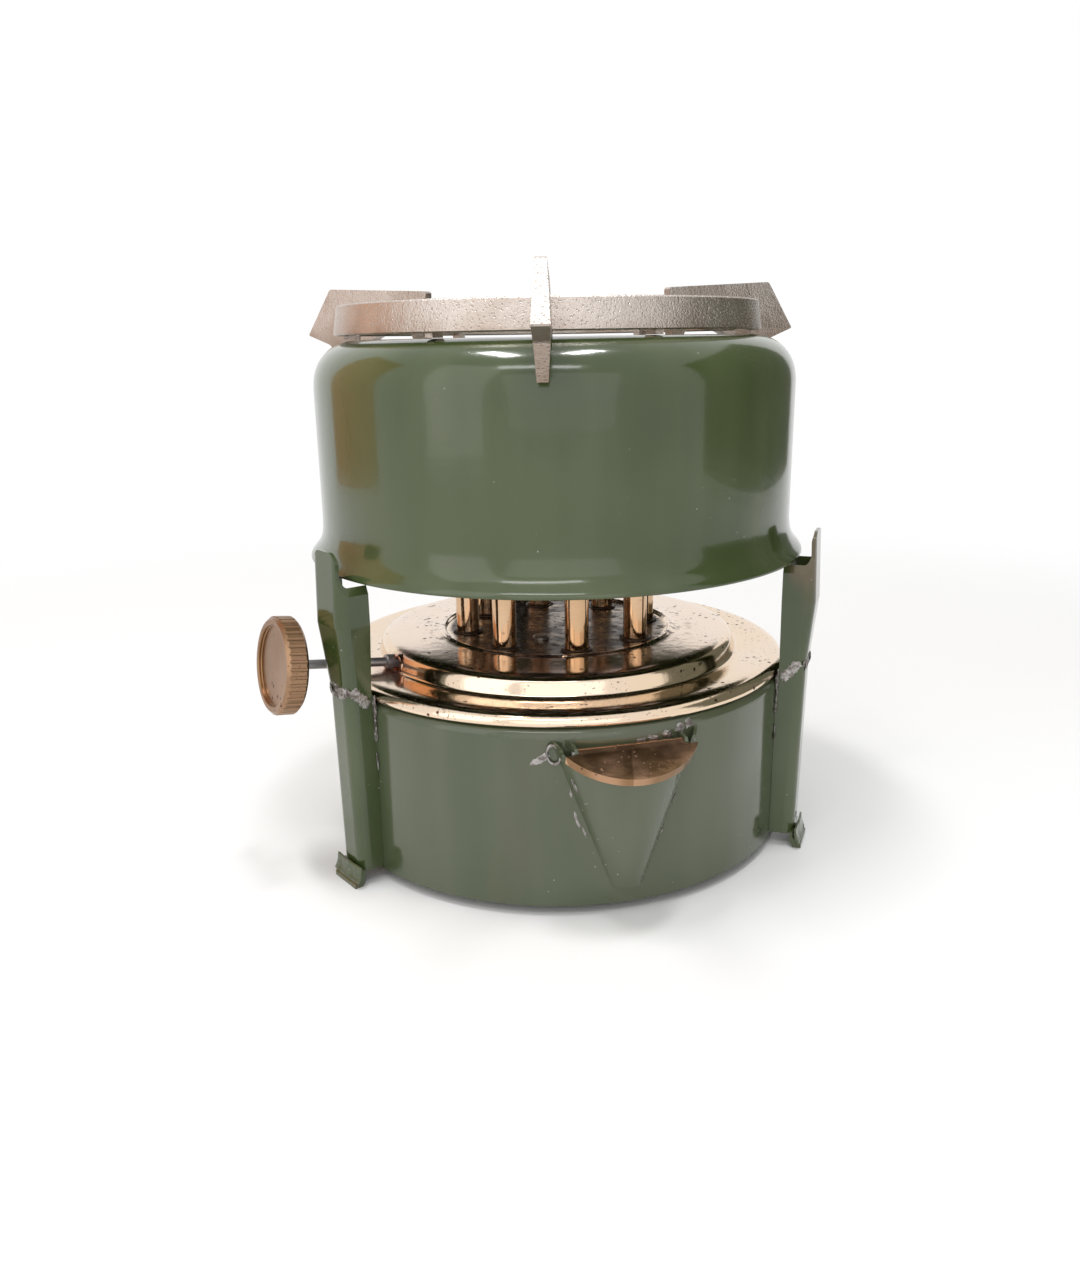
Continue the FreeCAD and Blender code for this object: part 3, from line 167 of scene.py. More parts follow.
class Graph:
    """One material and the ways in which its nodes are added."""

    def __init__(self, name: str) -> None:
        """Start a material with a principled shader and object coordinates.

        Args:
            name: the material's name.
        """
        self.material = bpy.data.materials.new(name)
        self.material.use_nodes = True
        self.tree = self.material.node_tree
        self.tree.nodes.clear()
        self.shader = self.tree.nodes.new("ShaderNodeBsdfPrincipled")
        output = self.tree.nodes.new("ShaderNodeOutputMaterial")
        self.tree.links.new(self.shader.outputs[0], output.inputs[0])
        self.place = self.node("ShaderNodeTexCoord", {}, {}, "Object")

    def node(
        self, kind: str, settings: dict[str, Any], values: dict[Key, Any], output: Key = 0
    ) -> Wire:
        """Add a node.

        Args:
            kind: Blender's name for the type of node.
            settings: the node's own settings, such as a Math node's operation.
            values: a number, colour or wire for each socket, by index or name.
            output: the output socket that is wanted.

        Returns:
            That output.
        """
        made = self.tree.nodes.new(kind)
        for name, value in settings.items():
            setattr(made, name, value)
        for key, value in values.items():
            self.feed(made.inputs[key], value)
        return Wire(self, made.outputs[output])

    def feed(self, socket: bpy.types.NodeSocket, value: Any) -> None:
        """Link a wire to a socket, or set the socket's own value.

        Args:
            socket: the input socket.
            value: a wire, number or colour.
        """
        if isinstance(value, Wire):
            self.tree.links.new(value.socket, socket)
        elif isinstance(value, tuple) and len(socket.default_value) == 4:
            socket.default_value = (*value, 1.0)
        else:
            socket.default_value = value

    def shift(self, at: Point = (0.0, 0.0, 0.0), scale: Point = (1.0, 1.0, 1.0)) -> Wire:
        """Object coordinates, moved and stretched.

        Args:
            at: how far the pattern is moved.
            scale: how much it is squeezed along each axis.

        Returns:
            The coordinates.
        """
        return self.node("ShaderNodeMapping", {}, {0: self.place, 1: at, 3: scale})

    def noise(self, scale: float, detail: float = 2.0, where: Union[Wire, None] = None) -> Wire:
        """Soft noise from 0 to 1.

        Args:
            scale: spots in a metre.
            detail: finer layers on top.
            where: coordinates other than the object's own.

        Returns:
            The noise.
        """
        values = {"Vector": where or self.place, "Scale": scale, "Detail": detail}
        return self.node("ShaderNodeTexNoise", {}, values)

    def cells(self, scale: float) -> Wire:
        """Distance to the nearest of many scattered points, in cells.

        Args:
            scale: points in a metre.

        Returns:
            The distance.
        """
        return self.node("ShaderNodeTexVoronoi", {}, {"Vector": self.place, "Scale": scale})

    def axes(self) -> tuple[Wire, Wire, Wire]:
        """The three object coordinates as values.

        Returns:
            Right, back and up.
        """
        split = self.node("ShaderNodeSeparateXYZ", {}, {0: self.place})
        outputs = split.socket.node.outputs
        return Wire(self, outputs[0]), Wire(self, outputs[1]), Wire(self, outputs[2])

    def mix(self, share: Wire, first: Any, second: Any) -> Wire:
        """Blend two colours.

        Args:
            share: 0 for the first colour and 1 for the second.
            first: colour or wire.
            second: colour or wire.

        Returns:
            The blended colour.
        """
        values = {0: share, 6: first, 7: second}
        return self.node("ShaderNodeMix", {"data_type": "RGBA"}, values, 2)

    def bump(self, height: Wire, depth: float, strength: float = 1.0) -> Wire:
        """A relief for the shader's normal.

        Args:
            height: relief from 0 to 1.
            depth: the relief's full height in metres.
            strength: share of the relief that shows.

        Returns:
            The changed normal.
        """
        values = {"Strength": strength, "Distance": depth, "Height": height}
        return self.node("ShaderNodeBump", {}, values)

    def surface(self, **values: Any) -> Finish:
        """Set the shader's sockets and hand back the material.

        Args:
            **values: socket names with an underscore for each space.

        Returns:
            The material.
        """
        for name, value in values.items():
            self.feed(self.shader.inputs[name.replace("_", " ")], value)
        return self.material


@dataclass(frozen=True)
class Enamel:
    """Olive green stove enamel: glossy, a little uneven, worn at its ends."""

    name: str
    thick: Colour = (0.040, 0.060, 0.017)
    thin: Colour = (0.066, 0.086, 0.034)
    worn: Colour = (0.120, 0.100, 0.078)
    dust: Colour = (0.42, 0.43, 0.38)
    brown: Colour = (0.150, 0.092, 0.058)
    roughness: float = 0.13
    peel: float = 0.00006
    foot: float = 0.0
    streaks: float = 0.0

    def material(self) -> Finish:
        """Build the enamel.

        Returns:
            The material.
        """
        g = Graph(self.name)
        _, _, z = g.axes()
        pools = g.noise(14.0)
        runs = g.noise(55.0, 2.0, g.shift(scale=(1.0, 1.0, 0.12)))
        tone = (pools * 0.6 + runs * 0.4).between(0.36, 0.64)
        colour = g.mix(tone, self.thick, self.thin)
        specks = g.cells(260.0).between(0.10, 0.05) * g.noise(35.0, 1.0).between(0.56, 0.62)
        colour = g.mix(specks * 0.45, colour, self.dust)
        rough = specks * 0.2 + self.roughness + g.noise(90.0) * 0.05
        if self.streaks:
            tall = g.shift((0.3, 0.1, 0.0), (1.0, 1.0, 0.35))
            drips = g.noise(30.0, 3.0, tall).between(0.60, 0.68)
            colour = g.mix(drips * self.streaks, colour, self.brown)
        if self.foot:
            height = z + g.noise(420.0, 4.0) * 0.006
            chips = height.between(self.foot + 0.004, self.foot + 0.0015)
            bare = chips * g.noise(900.0).between(0.42, 0.55)
            colour = g.mix(bare, colour, self.worn)
            rough = rough + bare * 0.4
        waves = g.noise(160.0)
        fine = g.noise(700.0)
        return g.surface(
            Base_Color=colour,
            Roughness=rough,
            Normal=g.bump(waves * 0.8 + fine * 0.2, self.peel),
            Coat_Weight=0.35,
            Coat_Roughness=0.03,
            IOR=1.5,
        )


@dataclass(frozen=True)
class PolishedBrass:
    """Old polished brass: warm, mirror-like, with tarnish specks, a burnt middle and a painted pale
    sheen on the plate's raised flat ring.
    """

    name: str
    bright: Colour = (0.840, 0.660, 0.480)
    pink: Colour = (0.850, 0.700, 0.590)
    tarnish: Colour = (0.085, 0.046, 0.026)
    burnt: Colour = (0.050, 0.027, 0.018)
    heated: Colour = (0.48, 0.22, 0.16)
    roughness: float = 0.11
    specks: float = 1.0
    well: float = 0.0
    well_levels: Pair = (0.0800, 0.0806)
    # Heights over which the plate's painted flat-ring sheen fades in.
    flat_sheen_levels: Pair = (0.0811, 0.0817)
    boss: Union[Point, None] = None

    def material(self) -> Finish:
        """Build the brass.

        Returns:
            The material.
        """
        g = Graph(self.name)
        x, y, z = g.axes()
        clouds = g.noise(22.0, 3.0).between(0.38, 0.62)
        # On the plate, the raised flat ring is tinted pale pink as a painted sheen for its grazing
        # reflection; elsewhere the tint follows random clouds.
        painted_flat_sheen = z.between(*self.flat_sheen_levels) if self.well else clouds
        colour = g.mix(clouds * 0.4 + painted_flat_sheen * 0.6, self.bright, self.pink)
        spots = g.cells(330.0).between(0.30, 0.17) * g.noise(60.0).between(0.50, 0.60)
        fine = g.noise(1100.0).between(0.63, 0.70) * g.noise(45.0, 1.0).between(0.45, 0.6)
        dirt = (spots * 0.9 + fine * 0.7) * self.specks
        rough = g.noise(120.0, 3.0) * 0.10 + self.roughness - 0.03
        if self.well:
            wobble = g.noise(80.0) * 0.004
            out = (x * x + y * y) ** 0.5
            inside = (out + wobble).between(self.well + 0.003, self.well + 0.0005)
            patches = g.noise(130.0, 3.0).between(0.30, 0.62) * 0.35 + 0.65
            burn = inside * z.between(*self.well_levels) * patches
            beside = (out + wobble * 2).between(self.well + 0.022, self.well)
            dirt = dirt + beside * g.noise(300.0, 3.0).between(0.52, 0.64) * 0.8
            colour = g.mix(burn, colour, self.burnt)
            rough = rough + burn * 0.16
        if self.boss:
            right, back, up = (here - there for here, there in zip((x, y, z), self.boss))
            distance = (right * right + back * back + up * up) ** 0.5
            glow = (distance + g.noise(120.0, 3.0) * 0.012).between(0.018, 0.008) * 0.8
            colour = g.mix(glow, colour, self.heated)
            rough = rough + glow * 0.14
        colour = g.mix(dirt.between(0.0, 1.0), colour, self.tarnish)
        rough = rough + dirt * 0.25
        relief = g.bump(g.noise(260.0, 3.0), 0.00005)
        return g.surface(Base_Color=colour, Metallic=1.0, Roughness=rough, Normal=relief)


@dataclass(frozen=True)
class CastMetal:
    """Grainy pale cast metal of the pan support, with painted shade turning it browner towards its
    underside.
    """

    name: str = "cast_nickel_brass"
    pale: Colour = (0.570, 0.505, 0.460)
    warm: Colour = (0.300, 0.215, 0.160)
    pitted: Colour = (0.22, 0.17, 0.14)
    roughness: float = 0.30
    underside_shade_levels: Pair = (0.2095, 0.1970)

    def material(self) -> Finish:
        """Build the cast metal.

        Returns:
            The material.
        """
        g = Graph(self.name)
        _, _, z = g.axes()
        grain = g.noise(1300.0, 3.0)
        pits = g.cells(900.0).between(0.32, 0.12)
        # Painted shade: lower down, the metal blends into the darker warm brown.
        low = (z + g.noise(70.0) * 0.010).between(*self.underside_shade_levels)
        clouds = g.noise(38.0, 3.0).between(0.45, 0.66)
        colour = g.mix(clouds * 0.4 + low * 0.6, self.pale, self.warm)
        colour = g.mix(grain.between(0.60, 0.75) * 0.35 + pits * 0.25, colour, self.pitted)
        rough = grain * 0.22 + self.roughness - 0.05
        relief = g.bump(grain * 0.8 + (1 - pits) * 0.4 + g.noise(260.0) * 0.7, 0.00035, 0.8)
        return g.surface(Base_Color=colour, Metallic=1.0, Roughness=rough, Normal=relief)


@dataclass(frozen=True)
class PlainMetal:
    """A rougher metal: bare steel, heat-tinted sheet, solder or sooty parts."""

    name: str
    first: Colour
    second: Colour
    roughness: float
    tint: Colour = (0.20, 0.15, 0.22)
    spread: float = 0.15
    patch: float = 60.0
    grain: float = 500.0
    depth: float = 0.0001
    metallic: float = 1.0
    rings: float = 0.0

    def material(self) -> Finish:
        """Build the metal.

        Returns:
            The material.
        """
        g = Graph(self.name)
        _, _, z = g.axes()
        share = g.noise(self.patch, 4.0).between(0.38, 0.64)
        colour = g.mix(share, self.first, self.second)
        if self.rings:
            band = (z * self.rings + g.noise(40.0) * 3).sine() * 0.5 + 0.5
            colour = g.mix(band * 0.5, colour, self.tint)
        rough = share * self.spread + self.roughness
        relief = g.bump(g.noise(self.grain, 3.0), self.depth)
        return g.surface(Base_Color=colour, Metallic=self.metallic, Roughness=rough, Normal=relief)


@dataclass(frozen=True)
class Cotton:
    """Twisted cotton wick, soaked below and charred at its top."""

    name: str = "wick_cotton"
    clean: Colour = (0.56, 0.50, 0.38)
    soaked: Colour = (0.30, 0.24, 0.15)
    shaded: Colour = (0.20, 0.17, 0.12)
    burnt: Colour = (0.018, 0.016, 0.015)
    char_level: float = 0.1225

    def material(self) -> Finish:
        """Build the cotton.

        Returns:
            The material.
        """
        g = Graph(self.name)
        _, _, z = g.axes()
        fibres = g.noise(2600.0, 2.0, g.shift(scale=(1.0, 1.0, 0.35)))
        colour = g.mix(g.noise(150.0), self.clean, self.soaked)
        colour = g.mix(fibres.between(0.35, 0.7) * 0.5, colour, self.shaded)
        height = z + g.noise(700.0) * 0.003
        char = height.between(self.char_level, self.char_level + 0.004)
        colour = g.mix(char, colour, self.burnt)
        return g.surface(Base_Color=colour, Roughness=0.9, Normal=g.bump(fibres, 0.0002))


@dataclass(frozen=True)
class LidCopper:
    """Copper-coloured brass of the filler lid: brown, with painted reflection bands fanning from
    the hinge and painted highlights at its rim and hinge.
    """

    hinge: Point
    name: str = "lid_copper_brass"
    brown: Colour = (0.300, 0.175, 0.090)
    bright: Colour = (0.720, 0.430, 0.280)
    dirt: Colour = (0.07, 0.04, 0.03)
    rim: float = 0.025

    def material(self) -> Finish:
        """Build the lid's metal.

        Returns:
            The material.
        """
        g = Graph(self.name)
        x, y, _ = g.axes()
        right, back = x - self.hinge[0], y - self.hinge[1]
        turn = g.node("ShaderNodeMath", {"operation": "ARCTAN2"}, {0: right, 1: back})
        # Painted reflection: bright bands that fan out round the hinge.
        fan_reflection = (turn * 4.5 + g.noise(40.0) * 1.6).sine().between(-0.4, 1.0)
        distance = (right**2 + back**2) ** 0.5 + g.noise(300.0) * 0.001
        # Painted highlight along the lid's rim.
        rim_highlight = distance.between(self.rim, self.rim + 0.0012)
        radius = math.hypot(self.hinge[0], self.hinge[1])
        out = x * (self.hinge[0] / radius) + y * (self.hinge[1] / radius) - radius
        colour = g.mix(fan_reflection * 0.42, self.brown, self.bright)
        # Painted highlights on the rim and on the hinge's knuckle, just outside the hinge line.
        colour = g.mix(rim_highlight + out.between(0.0030, 0.0018), colour, self.bright)
        spots = g.cells(420.0).between(0.26, 0.14) * g.noise(90.0).between(0.5, 0.6)
        colour = g.mix(spots * 0.8, colour, self.dirt)
        rough = g.noise(200.0, 3.0) * 0.12 + 0.14 + spots * 0.2
        relief = g.bump(g.noise(350.0, 3.0), 0.00005)
        return g.surface(Base_Color=colour, Metallic=1.0, Roughness=rough, Normal=relief)


def round_the_middle(distance: float, azimuth: float, height: float, aside: float = 0.0) -> Vector:
    """A point by its azimuth, counted from the front towards the right.

    Args:
        distance: metres from the stove's axis.
        azimuth: degrees.
        height: metres above the floor.
        aside: metres sideways, towards the greater azimuths.

    Returns:
        The point in the stove's frame.
    """
    turn = math.radians(azimuth)
    right, back = math.sin(turn), -math.cos(turn)
    return Vector((distance * right - aside * back, distance * back + aside * right, height))


def drop_selection() -> None:
    """Leave every object unselected."""
    bpy.ops.object.select_all(action="DESELECT")


def alone(piece: Piece) -> None:
    """Select one object only and make it the active one.

    Args:
        piece: the object.
    """
    drop_selection()
    piece.select_set(True)
    bpy.context.view_layer.objects.active = piece


@contextmanager
def editing() -> Iterator[None]:
    """Edit the active object with all of it selected, then go back to object mode.

    Yields:
        Nothing; the operators in the block act on the mesh.
    """
    bpy.ops.object.mode_set(mode="EDIT")
    bpy.ops.mesh.select_all(action="SELECT")
    yield
    bpy.ops.object.mode_set(mode="OBJECT")


def fix_place(piece: Piece) -> None:
    """Move a piece's place, turn and scale into its mesh."""
    alone(piece)
    bpy.ops.object.transform_apply(location=True, rotation=True, scale=True)


def apply(piece: Piece, kind: str, **settings: Any) -> None:
    """Add a modifier to a piece and apply it.

    Args:
        piece: the object.
        kind: Blender's name for the type of modifier.
        **settings: the modifier's settings.
    """
    alone(piece)
    bpy.ops.object.modifier_add(type=kind)
    modifier = piece.modifiers[-1]
    for name, value in settings.items():
        setattr(modifier, name, value)
    bpy.ops.object.modifier_apply(modifier=modifier.name)


def roughen(piece: Piece, name: str, grain: float, strength: float, level: float = 0.5) -> None:
    """Push a piece's surface in and out by soft clouds.

    Args:
        piece: the object.
        name: name of the clouds.
        grain: size of a cloud in metres.
        strength: the whole range of the moves in metres.
        level: share of that range that is inwards.
    """
    clouds = bpy.data.textures.new(name, "CLOUDS")
    clouds.noise_scale = grain
    apply(
        piece, "DISPLACE", texture=clouds, texture_coords="LOCAL", strength=strength,
        mid_level=level,
    )


def settle(piece: Piece, name: str, body: Body, finish: Finish) -> None:
    """Give a modelled piece its name, finish and body.

    Args:
        piece: the modelled object.
        name: its name.
        body: the moving group that it rides on.
        finish: its material.
    """
    fix_place(piece)
    with editing():
        bpy.ops.mesh.remove_doubles(threshold=PIECE_MERGE)
        bpy.ops.mesh.normals_make_consistent(inside=False)
    bpy.ops.object.shade_smooth_by_angle(angle=SMOOTH_BELOW)
    piece.name = name
    piece.data.name = name
    piece.data.materials.clear()
    piece.data.materials.append(finish)
    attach(piece, body.value)
    LOG.info("%s: %d faces on %s", name, len(piece.data.polygons), body.value)


def joined(parts: Sequence[Piece]) -> Piece:
    """Join several objects into one.

    Args:
        parts: the objects.

    Returns:
        The first object, which now holds them all.
    """
    drop_selection()
    for part in parts:
        part.select_set(True)
    bpy.context.view_layer.objects.active = parts[0]
    bpy.ops.object.join()
    return parts[0]


def copy_of(piece: Piece, matrix: Matrix) -> Piece:
    """Copy a piece with its own mesh.

    Args:
        piece: the object.
        matrix: where the copy is placed.

    Returns:
        The copy.
    """
    twin = piece.copy()
    twin.data = piece.data.copy()
    twin.matrix_world = matrix
    bpy.context.scene.collection.objects.link(twin)
    return twin


def lathe(outline: Sequence[Pair], steps: int, sweep: float = math.tau) -> Piece:
    """Turn an outline round the upright axis into an open sheet.

    Args:
        outline: radius and height of each point, in millimetres.
        steps: steps of the turn.
        sweep: angle of the turn, from the X axis.

    Returns:
        The sheet, with its normals outwards.
    """
    drop_selection()
    bpy.ops.mesh.primitive_plane_add(size=MM, location=(0, 0, 0))
    sheet = bpy.context.object
    here = Vector(outline[0])
    with editing():
        bpy.ops.mesh.merge(type="CENTER")
        bpy.ops.transform.translate(value=(here.x * MM, 0.0, here.y * MM))
        for point in outline[1:]:
            move = (Vector(point) - here) * MM
            step = {"value": (move.x, 0.0, move.y)}
            bpy.ops.mesh.extrude_region_move(TRANSFORM_OT_translate=step)
            here = Vector(point)
        bpy.ops.mesh.select_all(action="SELECT")
        bpy.ops.mesh.spin(steps=steps, angle=sweep, center=(0, 0, 0), axis=(0, 0, 1))
        bpy.ops.mesh.select_all(action="SELECT")
        bpy.ops.mesh.remove_doubles(threshold=SHEET_MERGE)
        bpy.ops.mesh.normals_make_consistent(inside=False)
    return sheet


def touch(nodes: Sequence[Piece], start: Vector, toward: Vector) -> tuple[Vector, Vector]:
    """The first point of some CAD nodes that a straight line meets.

    Args:
        nodes: the nodes' objects.
        start: a point outside them.
        toward: the line's direction.

    Returns:
        The point and the direction that the surface faces there.
    """
    hits = []
    for node in nodes:
        found, point, normal, _ = node.ray_cast(start, toward.normalized())
        if found:
            hits.append(((point - start).length, point, normal))
    _, point, normal = min(hits, key=lambda hit: hit[0])
    return point, normal


@dataclass(frozen=True)
class TubeRing:
    """The circle on which the wick tubes stand."""

    radius: float = 37.0 * MM
    first: float = 12.0
    count: int = 8

    def azimuths(self) -> list[float]:
        """The azimuth of each tube in degrees."""
        return [self.first + n * 360 / self.count for n in range(self.count)]

    def places(self, height: float) -> list[Vector]:
        """The middle of each tube at a height."""
        return [round_the_middle(self.radius, azimuth, height) for azimuth in self.azimuths()]


@dataclass
class DrumShell:
    """Pressed sheet drum: swept-out foot, straight wall, round shoulder and a collar."""

    finish: Enamel = Enamel("drum_enamel")
    wall: float = 92.0
    wall_levels: tuple[float, ...] = (150.0, 160.0, 170.0)
    corner: float = 16.0
    corner_steps: int = 6
    corner_hold: float = 2.5
    top: float = 196.4
    sheet: float = 0.8 * MM
    steps: int = 128
    foot: Outline = (
        (95.7, 116.9), (95.9, 116.1), (96.6, 115.65), (97.3, 115.8), (97.45, 116.6),
        (97.0, 117.6), (95.9, 118.9), (94.5, 120.5), (93.3, 122.4), (92.5, 124.8),
        (92.1, 127.8), (92.0, 132.0), (92.0, 141.0),
    )
    mouth: Outline = (
        (68.0, 196.4), (58.0, 196.4), (50.5, 196.4), (48.6, 196.3), (47.3, 195.6),
        (46.8, 194.2), (46.8, 191.0), (46.8, 187.5),
    )

    def shoulder(self) -> list[Pair]:
        """The straight wall and the rounded corner above it.

        Returns:
            Radius and height of each point, in millimetres.
        """
        radius, level = self.wall - self.corner, self.top - self.corner
        rows = [(self.wall, up) for up in (*self.wall_levels, level - self.corner_hold)]
        for step in range(self.corner_steps + 1):
            turn = math.radians(90.0 * step / self.corner_steps)
            out, up = self.corner * math.cos(turn), self.corner * math.sin(turn)
            rows.append((radius + out, level + up))
        return rows

    def build(self) -> None:
        """Turn the drum and let it stand for the CAD wall and crown."""
        drum = lathe([*self.foot, *self.shoulder(), *self.mouth], self.steps)
        apply(drum, "SOLIDIFY", thickness=self.sheet, offset=-1.0)
        apply(drum, "SUBSURF", levels=1, render_levels=1)
        settle(drum, "drum_shell", Body.DRUM, self.finish.material())
        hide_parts("drum_wall", "drum_crown")


@dataclass
class BurnerPlate:
    """Spun brass plate with its raised disc, flat ring and rolled edge, and the spindle's boss."""

    ring: TubeRing = TubeRing()
    sheet: float = 0.8 * MM
    steps: int = 128
    outline: Outline = (
        (0.0, 81.2), (22.0, 81.2), (41.0, 81.2), (44.9, 81.2), (45.6, 81.35), (46.0, 82.1),
        (46.5, 82.6), (47.4, 82.65), (48.0, 82.3), (48.5, 81.9), (49.4, 81.8), (58.0, 81.8),
        (66.5, 81.8), (68.8, 81.7), (70.6, 81.1), (71.7, 80.0), (72.2, 78.6), (72.6, 77.0),
        (72.9, 75.6), (73.5, 74.7), (74.8, 74.45), (80.0, 74.8), (86.0, 75.25), (88.4, 75.2),
        (89.8, 74.75), (91.2, 73.9), (92.1, 72.6), (92.3, 71.5), (91.9, 70.6), (91.0, 70.25),
    )
    boss: Outline = (
        (2.98, 0.0), (5.0, 0.0), (5.1, 1.0), (5.0, 5.0), (4.6, 11.0), (4.2, 15.0),
        (4.0, 16.0), (3.6, 16.4), (2.98, 16.4), (2.98, 0.0),
    )
    well: float = 44.5 * MM
    heated_out: float = 74.0 * MM
    heated_level: float = 78.0 * MM
    boss_start: float = 57.5 * MM
    boss_edge: float = 0.3 * MM
    boss_steps: int = 64
    tilt: float = 8.2
    axis_level: float = 66.6 * MM
    punch_sides: int = 48
    tube_punch: float = 4.65 * MM
    tube_punch_level: float = 81.0 * MM
    tube_punch_depth: float = 6.0 * MM
    spindle_punch: float = 3.1 * MM
    spindle_punch_middle: float = 70.0 * MM
    spindle_punch_depth: float = 24.0 * MM

    def spindle_frame(self, along: float) -> Matrix:
        """Place of a piece whose own axis runs along the wick spindle.

        Args:
            along: metres from the stove's middle.

        Returns:
            The placing matrix.
        """
        tilt = math.radians(self.tilt)
        outward = round_the_middle(math.cos(tilt), SPINDLE_AZIMUTH, math.sin(tilt))
        turn = outward.to_track_quat("Z", "Y").to_matrix().to_4x4()
        return Matrix.Translation(Vector((0.0, 0.0, self.axis_level)) + outward * along) @ turn

    def punches(self) -> Piece:
        """Cylinders where the wick tubes and the spindle go through the plate.

        Returns:
            All of them as one object.
        """
        tubes = self.ring.places(self.tube_punch_level)
        holes = [(at, self.tube_punch, self.tube_punch_depth) for at in tubes]
        holes.append((Vector(), self.spindle_punch, self.spindle_punch_depth))
        tools = []
        for at, radius, depth in holes:
            drop_selection()
            bpy.ops.mesh.primitive_cylinder_add(
                vertices=self.punch_sides, radius=radius, depth=depth, location=at
            )
            tools.append(bpy.context.object)
        tools[-1].matrix_world = self.spindle_frame(self.spindle_punch_middle)
        return joined(tools)

    def build(self) -> None:
        """Turn the plate, punch it, add its boss and let it stand for the CAD plate."""
        plate = lathe(self.outline, self.steps)
        apply(plate, "SOLIDIFY", thickness=self.sheet, offset=-1.0)
        apply(plate, "SUBSURF", levels=1, render_levels=1)
        tools = self.punches()
        apply(plate, "BOOLEAN", object=tools, operation="DIFFERENCE", solver="EXACT")
        bpy.data.objects.remove(tools)
        boss = lathe(self.boss, self.boss_steps)
        apply(boss, "BEVEL", width=self.boss_edge, segments=2, limit_method="ANGLE")
        boss.matrix_world = self.spindle_frame(self.boss_start)
        heated = tuple(round_the_middle(self.heated_out, SPINDLE_AZIMUTH, self.heated_level))
        finish = PolishedBrass("plate_brass", well=self.well, boss=heated).material()
        settle(joined([plate, boss]), "brass_plate", Body.BASE, finish)
        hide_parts("burner_plate")


@dataclass
class Blob:
    """One lump of solder: an uneven ball pressed against what it joins."""

    at: Vector
    normal: Vector
    size: Point
    lean: float
    seed: int
    grain: float = 0.5
    layers: int = 5
    strength: float = 1.5

    def model(self) -> Piece:
        """Model the lump.

        Returns:
            The lump, at its place.
        """
        drop_selection()
        bpy.ops.mesh.primitive_ico_sphere_add(subdivisions=4, radius=1.0, location=(0, 0, 0))
        lump = bpy.context.object
        cloud = bpy.data.textures.new(f"lump_{self.seed}", "CLOUDS")
        cloud.noise_scale = self.grain
        cloud.noise_depth = self.layers
        drop_selection()
        bpy.ops.object.empty_add(location=(self.seed * 1.7, self.seed * 0.9, self.seed * 0.4))
        helper = bpy.context.object
        apply(
            lump, "DISPLACE", texture=cloud, texture_coords="OBJECT",
            texture_coords_object=helper, strength=self.strength, mid_level=0.55,
        )
        bpy.data.objects.remove(helper)
        out = self.normal.normalized()
        along = out.cross(Vector((0, 0, 1))).normalized() * -1
        frame = Matrix((along, out, along.cross(out))).transposed().to_4x4()
        turn = frame @ Matrix.Rotation(math.radians(self.lean), 4, "Y")
        lump.matrix_world = Matrix.Translation(self.at) @ turn @ Matrix.Diagonal((*self.size, 1.0))
        fix_place(lump)
        return lump


